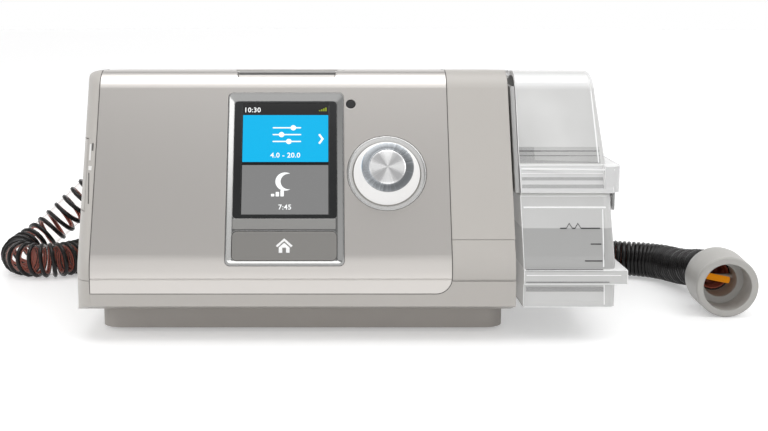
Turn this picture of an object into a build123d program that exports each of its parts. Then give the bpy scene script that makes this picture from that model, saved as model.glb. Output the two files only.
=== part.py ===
from build123d import *
import math
import os

# Bench-top breathing machine with a slide-out water tub and a heated air hose.
# Millimetres. X to the right seen from the front, Y to the back, Z up, floor at Z 0.

# ---------------------------------------------------------------- driving sizes
# casing
front_y = -75.0            # upright lower part of the front
back_y = 60.0              # rear wall
top_z = 116.0              # crest of the top
top_fall = 3.0             # degrees, slope of the top behind the crest
face_lean = 28.0           # degrees, front face leans back from upright
knee_z = 33.9              # height where upright front and leaning face would meet
lean_rise = math.tan(math.radians(face_lean))   # how far the face goes back for its height
crest_y = front_y + (top_z - knee_z) * lean_rise + 7.75    # the top falls to the back from here
knee_r = 21.6
brow_r = 14.0              # rounding between leaning face and top
rear_r = 6.0
case_right_x = 72.4
case_low_z = 12.0
front_low_z = 16.2         # front lower edge, the underside falls from here
toe_y = -62.0
split_z = 27.5             # joint between lower and upper case
case_wall = 2.4
seam = 0.15                # gap each side of a visible seam
seat = 0.3                 # gap at a loose seat
flare_x = 8.0              # left end: width of the rounded flare
flare_depth = 18.0

# silver fascia
fascia_left_x = -113.0
case_left_x = fascia_left_x - flare_x
fascia_right_x = 44.6
fascia_low_z = 21.8
fascia_back_y = crest_y + 15.6
fascia_t = 2.2
fascia_corner_r = 7.0
fascia_gap = 0.3           # behind the fascia
groove_z, groove_h, groove_depth = 28.3, 0.6, 0.4

# display surround, on the leaning face: x across, u up the face from the knee
face_length = (top_z - knee_z) / math.cos(math.radians(face_lean))
surround_x0, surround_x1 = -54.3, -2.3
surround_u0, surround_u1 = 0.6, face_length - 11.0
surround_depth = 2.0
surround_floor_t = 1.6
surround_flange = 4.0
surround_corner = 2.2
bevel_out = -0.95          # foot of the bevelled sides, relative to the face
frame_x0, frame_x1 = surround_x0 + 3.0, surround_x1 - 3.2
frame_u0, frame_u1 = 22.5, surround_u1 - 3.9
frame_t = 1.1
window_x0, window_x1 = frame_x0 + 3.3, frame_x1 - 3.3
window_u0, window_u1 = frame_u0 + 1.7, frame_u1 - 0.7
window_ledge = 0.8
lcd_t = 3.6
button_x0, button_x1 = frame_x0 - 0.1, frame_x1 - 0.1
button_u0, button_u1 = 3.1, 16.3
home_travel = 0.8
home_proud = -1.0          # front of the button, relative to the face
home_plate_t = 1.5
button_corner = 2.2
sensor_x, sensor_u, sensor_r = surround_x1 + 3.3, surround_u1 - 5.5, 2.1

# dial
dial_x, dial_u = 16.8, 0.4658 * face_length
dial_well_r = 17.8
dial_well_depth = 2.6
skirt_base_r = 14.8
skirt_top_r = 11.6
skirt_height = 8.0
cap_r = 11.5
cap_t = 1.3
disc_r = 8.2
dial_lift = -1.0           # underside of the skirt, relative to the face
dial_travel = 1.0
shaft_r = 3.0
shaft_clear = 0.05
encoder_out = -9.0         # front of the encoder body
encoder_side = 13.0
encoder_depth = 6.0
board_t = 1.6
board_out = -15.0          # front of the control board
board_x0, board_x1 = surround_x0 - 3.5, dial_x + 9.2
board_u0, board_u1 = 8.0, dial_u + 6.8

# start button on the top
start_x0, start_x1 = surround_x0 + 0.3, surround_x1 - 0.1
start_taper = 4.0
start_y0, start_y1 = crest_y - 7.4, fascia_back_y - 0.15
start_sink = 0.5
start_t = 2.0

# label plate on the right band
plate_u1 = 12.1
plate_low_z = 28.0
plate_t = 1.0

# base
base_x0, base_x1 = fascia_left_x + 1.0, case_right_x - 2.1
base_y0, base_y1 = -55.0, 50.0
base_low_z = 1.5
base_wall = 2.5
base_corner_r = 9.0
foot_r = 7.0
foot_inset = 14.0
screw_r = 1.5
screw_head_r = 3.0
screw_head_t = 2.2
boss_r = 3.4
post_height = 3.4

# bay for the tub, in the right of the casing
bay_x0 = case_right_x - 64.4
bay_z0, bay_z1 = 17.0, top_z - 28.0
bay_y0, bay_y1 = front_y + (bay_z1 - knee_z) * lean_rise + 11.23, 48.0
bay_wall = 1.6
bay_foot_inset_x, bay_foot_inset_y = 6.0, 8.0
heater_t = 2.1
heater_inset_x, heater_inset_y = 8.0, 10.0

# rear fittings
outlet_x, outlet_z = -10.0, top_z - 42.0
outlet_r = 11.0
outlet_bore = 9.0
outlet_reach = 75.0
inlet_x, inlet_z = -38.0, 40.0
filter_x0, filter_x1 = fascia_left_x + 5.0, inlet_x - 26.0
filter_z0, filter_z1 = 34.0, 66.0
panel_margin = 3.6         # rear panel, past the filter on the left
panel_corner_r = 3.0
tab_w, tab_t, tab_reach = 6.0, 1.2, 2.5
inlet_w, inlet_h, inlet_deep = 16.0, 12.0, 12.0

# water tub
tub_gap = 3.6              # dark gap between casing and tub
tub_right_x = 116.4
tub_front_inset = 2.0
tub_back_y = 47.0
tub_low_z = 15.5
tub_wall = 2.0
tub_rim_z = top_z - 53.8
tub_flange_z0, tub_flange_z1 = 26.0, 32.0
tub_flange_x = tub_right_x + 4.4
tub_clear = 2.0            # round the inner part, inside the bay
plate_gap = 0.3            # between heater and the tub's metal plate
steel_t = 1.0
seal_t = 1.2
cover_wall = 1.8
port_y_in, port_y_out, port_z = 12.0, 34.0, outlet_z
port_r = 8.0
cover_top_z = bay_z1 - 4.0
lid_top_inset = 0.4
lid_right_top_x = tub_right_x - 4.9
lid_right_low_x = tub_right_x - 1.2
lid_skirt_height = 11.5
ledge_x = tub_right_x + 4.6
hinge_x, hinge_z = case_right_x + tub_gap + 1.8, top_z - 4.2
hinge_pin_r = 1.1
hinge_eye_r = 2.2
hinge_clear = 0.05

# memory card and its cover, on the left side
door_depth = 3.0           # front edge of the cover, behind the leaning front
door_z1 = top_z - 30.0
door_z0 = door_z1 - 30.0
card_w, card_l, card_t = 24.0, 32.0, 2.1
card_z = door_z0 + 10.0
card_y = front_y + (card_z - knee_z) * lean_rise + 25.93
door_y1 = card_y + 21.4
door_pivot = (case_left_x + 1.4, door_y1 - 1.0)
side_board_front, side_board_back, side_board_past = 19.0, 13.0, 6.0
board_posts = (
    (fascia_left_x + 5.0, card_y - 4.0),
    (fascia_left_x + 0.78 * (surround_x0 - fascia_left_x), card_y - 16.0),
)
socket_under = 2.5

# blower
blower_x, blower_y = fascia_left_x + 29.0, 4.0
blower_r = 32.0
blower_z0, blower_z1, blower_z2 = 22.0, top_z - 74.0, top_z - 58.0
blower_wall = 2.0
motor_height = 11.0
impeller_r = 26.0
motor_r = 15.0
motor_shaft_r = 2.5
running = 0.06

# hose
hose_d = 19.0
hose_r = hose_d / 2
coil_centre = (-2.0, 215.0)
coil_mean_r = 100.0
coil_layers = 2
cuff_r = 14.5
cuff_swell_r = 14.9
cuff_bore = 11.2
cuff_bore_deep = 14.0
cuff_length = 27.0

# ---------------------------------------------------------------- helpers
lean = math.radians(face_lean)
lean_s, lean_c = math.sin(lean), math.cos(lean)
fall = math.tan(math.radians(top_fall))


def block(x0, x1, y0, y1, z0, z1):
    """Box between two corners."""
    return Pos((x0 + x1) / 2, (y0 + y1) / 2, (z0 + z1) / 2) * Box(x1 - x0, y1 - y0, z1 - z0)


def rod(radius, start, end):
    """Round bar between two points."""
    start, end = Vector(*start), Vector(*end)
    along = end - start
    return extrude(Plane(start, z_dir=along) * Circle(radius), along.length)


def tube(outer, inner, start, end):
    return rod(outer, start, end) - rod(inner, start, end)


def face_plane(x, u, out=0.0):
    """Plane on the leaning face: x across, u up the face, out along its normal."""
    return Plane(
        origin=(x, front_y + u * lean_s - out * lean_c, knee_z + u * lean_c + out * lean_s),
        x_dir=(1, 0, 0),
        z_dir=(0, -lean_c, lean_s),
    )


def face_slab(x0, x1, u0, u1, out0, out1, corner=0.0):
    """Slab lying on the leaning face, between two depths."""
    sketch = RectangleRounded(x1 - x0, u1 - u0, corner) if corner else Rectangle(x1 - x0, u1 - u0)
    return extrude(face_plane((x0 + x1) / 2, (u0 + u1) / 2, out0) * sketch, out1 - out0)


def face_disc(x, u, radius, out0, out1):
    return extrude(face_plane(x, u, out0) * Circle(radius), out1 - out0)


def side_outline(front=0.0, top=0.0, rear_y=back_y, low_z=case_low_z):
    """Side view of the casing as (Y, Z), pulled in from the front and the top."""
    knee_y = front_y + front
    knee_up = front * (1 - lean_c) / lean_s
    knee = knee_z - front * lean_s + knee_up * lean_c
    line_top = top_z - top
    up = (line_top - fall * (knee_y - crest_y) - knee) / (lean_c + fall * lean_s)
    brow = (knee_y + up * lean_s, knee + up * lean_c)
    rear_top = line_top - fall * (rear_y - crest_y)
    points = [(knee_y, low_z), (knee_y, knee), brow, (rear_y, rear_top), (rear_y, low_z)]
    radii = [0, max(knee_r - front, 1.0), max(brow_r - front, 2.0), rear_r, 0]
    return points, radii


def side_face(x, outline):
    points, radii = outline
    return Plane.YZ.offset(x) * make_face(FilletPolyline(*points, radius=radii, close=True).edges())


def casing_prism(x0, x1, **pulls):
    """The casing's side view, drawn out along X."""
    return extrude(side_face(x0, side_outline(**pulls)), x1 - x0, dir=(1, 0, 0))


def front_shape(points, radii, y0, y1):
    """A front view (X, Z), drawn out along Y."""
    face = make_face(FilletPolyline(*points, radius=radii, close=True).edges())
    return extrude(Plane.XZ.offset(-y0) * face, y1 - y0, dir=(0, 1, 0))


# ---------------------------------------------------------------- casing
beyond = 20.0              # how far a cutting shape runs past what it cuts
far = 200.0                # past everything
lining = case_wall + fascia_t + fascia_gap


def fascia_region(grow):
    """Front view that the fascia fills, grown by a seam."""
    x0, x1 = fascia_left_x - grow, fascia_right_x + grow
    z0, z1 = fascia_low_z - grow, top_z + beyond
    points = [(x0, z0), (x1, z0), (x1, z1), (x0, z1)]
    radii = [0, fascia_corner_r + grow, 0, 0]
    return front_shape(points, radii, front_y - beyond, fascia_back_y + grow)


def flare(inset, x_shift):
    """The rounded left end of the casing, as a solid."""
    sections = []
    for degrees in (0, 30, 60, 90):
        turn = math.radians(degrees)
        x = fascia_left_x + x_shift - flare_x * math.sin(turn)
        depth = flare_depth * (1 - math.cos(turn)) + inset + seam
        outline = side_outline(front=depth, top=depth * 0.22, rear_y=back_y - inset, low_z=case_low_z + inset)
        sections.append(side_face(x, outline))
    return loft(sections)


case_outer = casing_prism(fascia_left_x, case_right_x)
case_inner = casing_prism(
    fascia_left_x - beyond, case_right_x - case_wall,
    front=lining, top=lining, rear_y=back_y - case_wall, low_z=case_low_z + case_wall,
)
under_fascia = fascia_t + fascia_gap
fascia_pocket = (
    casing_prism(fascia_left_x - seam, fascia_right_x + seam, front=-beyond, top=-beyond,
                 low_z=fascia_low_z - seam)
    - casing_prism(fascia_left_x - 1, fascia_right_x + 1, front=under_fascia, top=under_fascia, low_z=0)
) & fascia_region(seam)
toe_wedge = extrude(
    Plane.YZ.offset(case_left_x - 1)
    * make_face(Polyline((front_y - 2, case_low_z - 2), (front_y - 2, front_low_z), (front_y, front_low_z),
                         (toe_y, case_low_z), (toe_y, case_low_z - 2), close=True).edges()),
    case_right_x - case_left_x + 2, dir=(1, 0, 0),
)
bay_mouth = block(case_right_x - case_wall - 1, case_right_x + 1, bay_y0, bay_y1, bay_z0, bay_z1)
plate_outline = block(
    fascia_right_x + seam, case_right_x - seam, front_y - 2, back_y, plate_low_z,
    knee_z + plate_u1 * lean_c,
)
plate_skin = casing_prism(fascia_right_x, case_right_x, low_z=plate_low_z) - casing_prism(
    fascia_right_x - 1, case_right_x + 1, front=plate_t, top=plate_t, low_z=0)
label_plate = plate_skin & plate_outline
plate_recess = (
    casing_prism(fascia_right_x, case_right_x + 1, front=-1, top=-1, low_z=plate_low_z - seam)
    - casing_prism(fascia_right_x - 1, case_right_x + 2, front=plate_t + 0.05, top=plate_t, low_z=0)
) & block(fascia_right_x, case_right_x + 2, front_y - 3, back_y, plate_low_z - seam,
          knee_z + plate_u1 * lean_c + seam)

screw_places = [
    (base_x0 + 8, base_y0 + 8, front_y + lining - 1),
    (case_right_x - 12, base_y0 + 8, front_y + lining - 1),
    (base_x0 + 8, base_y1 - 7, back_y - case_wall + 1),
    (0.0, base_y1 - 7, back_y - case_wall + 1),
]

case_shell = case_outer - case_inner - fascia_pocket - plate_recess - toe_wedge - bay_mouth
end_cap = flare(0, 0) - flare(case_wall, case_wall) - toe_wedge
end_cap = end_cap & block(case_left_x - 1, fascia_left_x, front_y - 5, back_y + 5, 0, top_z + 5)

below = block(case_left_x - 5, case_right_x + 5, front_y - 5, back_y + 5, 0, split_z - seam)
above = block(case_left_x - 5, case_right_x + 5, front_y - 5, back_y + 5, split_z, top_z + 5)

# lower case: floor, front toe, left end and the bosses that the long screws pass
lower_case = (case_shell & below) + (end_cap & below)
for x, y, wall_y in screw_places:
    lower_case += rod(boss_r, (x, y, case_low_z + 1), (x, y, split_z - seam))
for x, y in board_posts:
    lower_case += rod(boss_r, (x, y, case_low_z + 1), (x, y, card_z - socket_under - board_t))
for x, y, wall_y in screw_places:
    lower_case -= rod(screw_r + 0.15, (x, y, case_low_z - 1), (x, y, split_z + 1))

# upper case: top, band, rear wall; the front opening is behind the fascia
upper_case = case_shell & above
for x, y, wall_y in screw_places:
    post = rod(boss_r, (x, y, split_z), (x, y, split_z + post_height))
    rib = block(x - 1.2, x + 1.2, min(y, wall_y), max(y, wall_y), split_z, split_z + post_height)
    upper_case += post + rib
    upper_case -= rod(screw_r, (x, y, split_z - 1), (x, y, split_z + post_height - 1.5))
opening_x1 = dial_x + dial_well_r + 2
front_opening = face_slab(surround_x0 - surround_flange - 1, opening_x1, surround_u0 - surround_flange,
                          surround_u1 + surround_flange, -lining - 3, 1)
upper_case -= front_opening & block(-far, far, front_y - 5, start_y0 - 1, split_z + 2, top_z)
upper_case -= face_disc(sensor_x, sensor_u, sensor_r + 1.5, -lining - 3, 1)

case_screws = Part()
for x, y, wall_y in screw_places:
    head = rod(screw_head_r, (x, y, base_low_z + 0.6), (x, y, base_low_z + 0.6 + screw_head_t))
    case_screws += head + rod(screw_r, (x, y, base_low_z + 0.6), (x, y, split_z + post_height - 2))

left_side_cover = end_cap & above
px, py = door_pivot


def door_shape(grow, rear_grow):
    """The cover's outline in side view: its front edge follows the leaning front."""
    lean_cut = casing_prism(case_left_x - 2, fascia_left_x + 1, front=door_depth - grow, top=5)
    return lean_cut & block(case_left_x - 2, fascia_left_x - 0.5, front_y, door_y1 + rear_grow,
                            door_z0 - grow, door_z1 + grow)


sd_card_cover = left_side_cover & door_shape(0, 0)
sd_card_cover += rod(1.6, (px, py, door_z0), (px, py, door_z1)) & block(
    case_left_x, px + 2, front_y, py + 1.6, door_z0, door_z1)
sd_card_cover += rod(0.7, (px, py, door_z0 - 1.4), (px, py, door_z1 + 1.4))
left_side_cover -= door_shape(seat + 0.1, 0.75)
for z0, z1 in ((door_z0 - 3.5, door_z0 - seat), (door_z1 + seat, door_z1 + 3.5)):
    left_side_cover += block(case_left_x + 0.6, px + 2.6, py - 2.2, py + 2.6, z0, z1)
    left_side_cover -= rod(0.7 + hinge_clear, (px, py, z0 - 1), (px, py, z1 + 1))

# ---------------------------------------------------------------- fascia and what it carries
fascia = (
    casing_prism(fascia_left_x, fascia_right_x, low_z=fascia_low_z)
    - casing_prism(fascia_left_x - 1, fascia_right_x + 1, front=fascia_t, top=fascia_t, low_z=0)
) & fascia_region(0)
fascia -= face_slab(surround_x0 - seam, surround_x1 + seam, surround_u0 - seam, surround_u1 + seam, -6, 6,
                    surround_corner + seam)
fascia -= face_disc(dial_x, dial_u, dial_well_r, -6, 6)
fascia -= face_disc(sensor_x, sensor_u, sensor_r + seam, -6, 6)
fascia -= (
    casing_prism(fascia_left_x - 1, fascia_right_x + 1, front=-1, top=-1, low_z=0)
    - casing_prism(fascia_left_x - 2, fascia_right_x + 2, front=groove_depth, top=groove_depth, low_z=0)
) & block(fascia_left_x - 1, fascia_right_x + 1, front_y - 2, 0,
          groove_z - groove_h / 2, groove_z + groove_h / 2)


def start_shape(grow, z0, z1):
    """Plan view of the start button, a trapezoid that narrows to the front."""
    x0, x1 = start_x0 - grow, start_x1 + grow
    y0, y1 = start_y0 - grow, start_y1 + grow
    points = [(x0 + start_taper, y0), (x1 - start_taper, y0), (x1, y1), (x0, y1)]
    return extrude(Pos(0, 0, z0) * make_face(Polyline(*points, close=True).edges()), z1 - z0, dir=(0, 0, 1))


start_low_z = top_z - beyond
fascia -= start_shape(seat, start_low_z, top_z + 5)
power_button = (
    casing_prism(start_x0, start_x1, front=start_sink, top=start_sink)
    - casing_prism(start_x0 - 1, start_x1 + 1, front=start_sink + start_t, top=start_sink + start_t, low_z=0)
) & start_shape(0, start_low_z, top_z + 5)
start_mid = ((start_x0 + start_x1) / 2, (start_y0 + start_y1) / 2)
start_under_z = top_z - start_sink - 1.0
switch_z = top_z - lining - 6.0
power_button += rod(2.0, (*start_mid, switch_z + 1.2), (*start_mid, start_under_z))
upper_case -= start_shape(seat, start_low_z, top_z + 5)
switch_plate_t = 1.6
power_switch = Pos(*start_mid, switch_z - 2) * Box(8, 8, 4)
switch_board = block(start_x0 - 6, start_x1 + 6, start_y0 + 8, start_y1 + 4,
                     switch_z - 4 - switch_plate_t, switch_z - 4)
for x in (start_x0 - 3, start_x1 + 3):
    upper_case += rod(2.2, (x, start_y1, switch_z - 4), (x, start_y1, top_z - lining + 1))

# display surround: a shallow tray with bevelled sides
knee_flat_u = knee_r * math.tan(lean / 2) + 0.6
outer_w, outer_h = surround_x1 - surround_x0, surround_u1 - surround_u0
surround = face_slab(surround_x0, surround_x1, surround_u0, surround_u1, -fascia_t - fascia_gap, 0.15,
                     surround_corner)
surround = surround & casing_prism(surround_x0, surround_x1, front=-0.15, top=-0.15)
surround += face_slab(surround_x0 - surround_flange, surround_x1 + surround_flange,
                      knee_flat_u, surround_u1 + 1.5, -surround_depth - surround_floor_t, -fascia_t - 0.1)
tray_x0, tray_x1 = frame_x0 - 0.35, frame_x1 + 0.35
tray_u0, tray_u1 = button_u0 - 0.25, frame_u1 + 0.15
rim = 0.35
surround_mid = ((surround_x0 + surround_x1) / 2, (surround_u0 + surround_u1) / 2)
tray_top = face_plane(*surround_mid, 0.2) * RectangleRounded(
    outer_w - 2 * rim, outer_h - 2 * rim, surround_corner - rim)
tray_low = face_plane((tray_x0 + tray_x1) / 2, (tray_u0 + tray_u1) / 2, bevel_out) * RectangleRounded(
    tray_x1 - tray_x0, tray_u1 - tray_u0, 0.5)
surround -= loft([tray_top, tray_low])
frame_corner = 1.6
surround -= face_slab(frame_x0 - 0.15, frame_x1 + 0.15, frame_u0 - 0.15, frame_u1 + 0.15, -surround_depth, 1,
                      frame_corner + 0.15)
surround -= face_slab(window_x0 + window_ledge, window_x1 - window_ledge, window_u0 + window_ledge,
                      window_u1 - window_ledge, -8, -surround_depth + 0.1)
post_places = [(x, u) for x in (surround_x0 - 1.8, surround_x1 + 1.8) for u in (10.0, 48.0)]
back_out = -surround_depth - surround_floor_t
plunger_x0, plunger_x1 = button_x0 + 8.0, button_x1 - 8.0
plunger_u0, plunger_u1 = button_u0 + 3.4, button_u1 - 3.4
plunger_out = back_out - 2.4
for x, u in post_places:
    surround += face_disc(x, u, 2.0, board_out, back_out + 0.1)

display_frame = face_slab(frame_x0, frame_x1, frame_u0, frame_u1, -surround_depth, -surround_depth + frame_t,
                          frame_corner)
display_frame -= face_slab(window_x0, window_x1, window_u0, window_u1, -surround_depth - 1, 1)
display_window = face_slab(window_x0 + 0.1, window_x1 - 0.1, window_u0 + 0.1, window_u1 - 0.1,
                           -surround_depth, -surround_depth + frame_t - 0.15)
lcd_module = face_slab(frame_x0 + 1, frame_x1 - 1, frame_u0 + 0.6, frame_u1 - 0.4, back_out - lcd_t, back_out)

button_floor = home_proud - home_plate_t - home_travel - 0.15
surround += face_slab(button_x0 - 1.5, button_x1 + 1.5, button_u0 - 1.5, button_u1 + 1.5,
                      button_floor - surround_floor_t, -surround_depth - 0.5)
surround -= face_slab(button_x0 - 0.25, button_x1 + 0.25, button_u0 - 0.25, button_u1 + 0.25, button_floor, 1,
                      button_corner + 0.2)
surround -= face_slab(plunger_x0 - 0.3, plunger_x1 + 0.3, plunger_u0 - 0.3, plunger_u1 + 0.3, -12, 0)

home_button = face_slab(button_x0, button_x1, button_u0, button_u1, home_proud - home_plate_t, home_proud,
                        button_corner)
home_button += face_slab(plunger_x0, plunger_x1, plunger_u0, plunger_u1, plunger_out, home_proud - 0.5)
switch_front = plunger_out - home_travel - 0.2
home_mid = (button_x0 + button_x1) / 2
home_switch = face_slab(home_mid - 4.0, home_mid + 4.0, button_u0 + 2.6, button_u1 - 2.6,
                        board_out, switch_front)

sensor_lens_back = -fascia_t - 1.2
light_sensor = face_disc(sensor_x, sensor_u, sensor_r, sensor_lens_back, -0.35)
light_sensor += face_disc(sensor_x, sensor_u, sensor_r + 0.9, sensor_lens_back - 1.0, -fascia_t)
light_sensor -= face_slab(surround_x0, surround_x1 + surround_flange + 0.1, 0, surround_u1 + 1.6, -8,
                          -fascia_t + 0.1)

# ---------------------------------------------------------------- dial
well_dish = loft([
    face_plane(dial_x, dial_u, 0) * Circle(dial_well_r - seam - 0.35),
    face_plane(dial_x, dial_u, -dial_well_depth) * Circle(skirt_base_r + 0.35),
], ruled=True)
dial_well = face_disc(dial_x, dial_u, dial_well_r - seam, -dial_well_depth - 1.4, -0.1)
dial_well += face_disc(dial_x, dial_u, dial_well_r + 1.6, -dial_well_depth - 1.4, -fascia_t - 0.1)
dial_well -= well_dish
dial_well -= face_disc(dial_x, dial_u, shaft_r + 0.6, -10, 1)
dial_well -= face_slab(surround_x0, surround_x1 + surround_flange + 0.1, 0, surround_u1, -10, -fascia_t)

skirt_top = dial_lift + skirt_height
dial_skirt = loft([
    face_plane(dial_x, dial_u, dial_lift) * Circle(skirt_base_r),
    face_plane(dial_x, dial_u, dial_lift + 1.2) * Circle(skirt_base_r - 0.1),
    face_plane(dial_x, dial_u, skirt_top) * Circle(skirt_top_r),
], ruled=True)
dial_skirt -= face_disc(dial_x, dial_u, shaft_r, dial_lift - 1, skirt_top - 1.5)
dial_cap = face_disc(dial_x, dial_u, cap_r, skirt_top, skirt_top + cap_t)
dial_cap -= face_disc(dial_x, dial_u, disc_r, skirt_top + 0.4, skirt_top + cap_t + 1)
dial_disc = face_disc(dial_x, dial_u, disc_r - 0.05, skirt_top + 0.4, skirt_top + cap_t - 0.25)
shaft_foot = encoder_out - encoder_depth + 2.0
rotor_foot = shaft_foot - dial_travel - 0.1
dial_shaft = face_disc(dial_x, dial_u, shaft_r, shaft_foot, skirt_top - 1.5)
rotor_out1 = encoder_out - 1.2
dial_rotor = face_disc(dial_x, dial_u, shaft_r + 1.6, rotor_foot, rotor_out1 - 0.1)
dial_rotor -= face_disc(dial_x, dial_u, shaft_r + shaft_clear, board_out - 1, 0)
half = encoder_side / 2
dial_encoder = face_slab(dial_x - half, dial_x + half, dial_u - half, dial_u + half, board_out, encoder_out)
dial_encoder -= face_disc(dial_x, dial_u, shaft_r + 1.6 + running, rotor_foot - 0.1, rotor_out1)
dial_encoder -= face_disc(dial_x, dial_u, shaft_r + 0.3, rotor_out1 - 1, 0)
control_board = face_slab(board_x0, board_x1, board_u0, board_u1, board_out - board_t, board_out)

# ---------------------------------------------------------------- base pan and feet
pan_w, pan_d = base_x1 - base_x0, base_y1 - base_y0
pan_mid = ((base_x0 + base_x1) / 2, (base_y0 + base_y1) / 2)
base_pan = extrude(Pos(*pan_mid, base_low_z) * RectangleRounded(pan_w, pan_d, base_corner_r),
                   case_low_z - base_low_z)
base_pan -= extrude(
    Pos(*pan_mid, base_low_z + base_wall)
    * RectangleRounded(pan_w - 2 * base_wall, pan_d - 2 * base_wall, base_corner_r - base_wall), case_low_z)
for x, y, wall_y in screw_places:
    base_pan += rod(screw_head_r + 1.6, (x, y, base_low_z), (x, y, case_low_z))
for x, y, wall_y in screw_places:
    base_pan -= rod(screw_head_r + 0.2, (x, y, base_low_z - 1), (x, y, base_low_z + 0.6 + screw_head_t))
    base_pan -= rod(screw_r + 0.15, (x, y, base_low_z), (x, y, case_low_z + 1))
foot_places = [(x, y) for x in (base_x0 + foot_inset + 8, base_x1 - foot_inset)
               for y in (base_y0 + foot_inset + 6, base_y1 - foot_inset - 6)]
rubber_feet = Part()
for x, y in foot_places:
    base_pan -= rod(2.1, (x, y, base_low_z - 1), (x, y, base_low_z + base_wall + 1))
    rubber_feet += rod(foot_r, (x, y, 0), (x, y, base_low_z))
    rubber_feet += rod(2.0, (x, y, 0.5), (x, y, base_low_z + base_wall + 0.6))
    rubber_feet += rod(2.8, (x, y, base_low_z + base_wall), (x, y, base_low_z + base_wall + 1.2))

# ---------------------------------------------------------------- bay, heater and air ways
bay_x1 = case_right_x - case_wall
bay_liner = block(bay_x0, bay_x1, bay_y0, bay_y1, bay_z0, bay_z1)
bay_liner -= block(bay_x0 + bay_wall, bay_x1 + 1, bay_y0 + bay_wall, bay_y1 - bay_wall,
                   bay_z0 + bay_wall, bay_z1 - bay_wall)
heater_z = bay_z0 + bay_wall
heater_plate = block(bay_x0 + heater_inset_x, bay_x1 - heater_inset_x, bay_y0 + heater_inset_y,
                     bay_y1 - heater_inset_y, heater_z, heater_z + heater_t)
tub_floor_z = heater_z + heater_t + plate_gap
tub_in_x0 = bay_x0 + bay_wall + 3.4
tub_in_y0, tub_in_y1 = bay_y0 + bay_wall + tub_clear, bay_y1 - bay_wall - tub_clear
for y in (port_y_in, port_y_out):
    bay_liner -= rod(port_r - 0.5, (bay_x0 - 1, y, port_z), (bay_x0 + bay_wall + 1, y, port_z))
bay_seals = Part()
for y in (port_y_in, port_y_out):
    bay_seals += tube(port_r + 2.0, port_r - 0.5, (bay_x0 + bay_wall, y, port_z),
                      (tub_in_x0 - seat, y, port_z))
bay_feet_z = case_low_z + case_wall
for x in (bay_x0 + bay_foot_inset_x, bay_x1 - bay_foot_inset_x):
    for y in (bay_y0 + bay_foot_inset_y, bay_y1 - bay_foot_inset_y):
        bay_liner += rod(3.0, (x, y, bay_feet_z), (x, y, bay_z0 + 0.5))

duct_outer, duct_inner = port_r + 0.6, port_r - 0.9
outlet_inner_y = back_y - case_wall - 8.0


def elbow_pipe(outer, inner, start, corner, end):
    """Pipe from start round a corner to end, open at both ends."""
    pipe = rod(outer, start, corner) + Pos(*corner) * Sphere(outer) + rod(outer, corner, end)
    return pipe - rod(inner, start, corner) - Pos(*corner) * Sphere(inner) - rod(inner, corner, end)


riser_x = blower_x + blower_r - duct_outer - 1.5
inlet_duct = elbow_pipe(duct_outer, duct_inner, (bay_x0, port_y_in, port_z), (riser_x, port_y_in, port_z),
                        (riser_x, port_y_in, blower_z2))
outlet_duct = elbow_pipe(duct_outer - 0.3, duct_inner, (bay_x0, port_y_out, port_z),
                         (outlet_x, port_y_out, port_z), (outlet_x, outlet_inner_y + 2.0, port_z))


# ---------------------------------------------------------------- water tub
tub_x0 = case_right_x + tub_gap
rear_in = tub_back_y - tub_wall
skirt_z0 = tub_rim_z + seal_t + seat
skirt_z1 = skirt_z0 + lid_skirt_height
tub_pull = dict(front=tub_front_inset, top=lid_top_inset, rear_y=tub_back_y, low_z=tub_low_z)
hollow_pull = dict(front=tub_front_inset + tub_wall, top=lid_top_inset + tub_wall, rear_y=rear_in)
tub_body = casing_prism(tub_x0, tub_right_x, **tub_pull)
corner_edges = [
    e for e in tub_body.faces().sort_by(Axis.X)[-1].edges()
    if e.bounding_box().size.Z > max(0.6 * e.bounding_box().size.Y, 5)
]
tub_body = fillet(corner_edges, 4.0)
tub_inner_body = block(tub_in_x0, tub_x0 + 1, tub_in_y0, tub_in_y1, tub_floor_z, top_z)
pan_floor_z = tub_floor_z + steel_t + tub_wall
hollow_out = casing_prism(tub_x0 + tub_wall, tub_right_x - tub_wall, low_z=pan_floor_z, **hollow_pull)
hollow_in = block(tub_in_x0 + tub_wall, tub_x0 + tub_wall + 1, tub_in_y0 + tub_wall, tub_in_y1 - tub_wall,
                  pan_floor_z, top_z)
under_rim = block(0, far, front_y - 5, back_y, 0, tub_rim_z)
flange_band = block(0, far, front_y - 5, back_y, tub_flange_z0, tub_flange_z1)
tub_flange = casing_prism(tub_x0, tub_flange_x, front=0.7, top=0, rear_y=tub_back_y + 1.4, low_z=tub_low_z)
tub_flange = tub_flange & flange_band
catch_y0, catch_y1 = -38.0, -8.0
catch_lip = block(tub_right_x - 1, tub_right_x + 1.2, catch_y0 - 6, catch_y1 + 6, tub_rim_z - 2.2, tub_rim_z)
tub_base = (tub_body + tub_inner_body) & under_rim
tub_base += tub_flange + catch_lip
tub_base -= hollow_out + hollow_in
tub_base -= block(tub_x0 + tub_wall, tub_right_x - tub_wall, front_y + 6, rear_in, 0, pan_floor_z - tub_wall)
steel_x0, steel_x1 = tub_in_x0 + 5.0, bay_x1 - 6.0
steel_y0, steel_y1 = tub_in_y0 + 7.0, tub_in_y1 - 7.0
tub_base -= block(steel_x0 - 0.1, steel_x1 + 0.1, steel_y0 - 0.1, steel_y1 + 0.1, 0, tub_floor_z + steel_t)
tub_steel_plate = block(steel_x0, steel_x1, steel_y0, steel_y1, tub_floor_z, tub_floor_z + steel_t)

seal_band = block(0, far, front_y - 5, back_y, tub_rim_z, tub_rim_z + seal_t)
tub_seal = ((tub_body + tub_inner_body) & seal_band) - hollow_out - hollow_in

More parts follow.
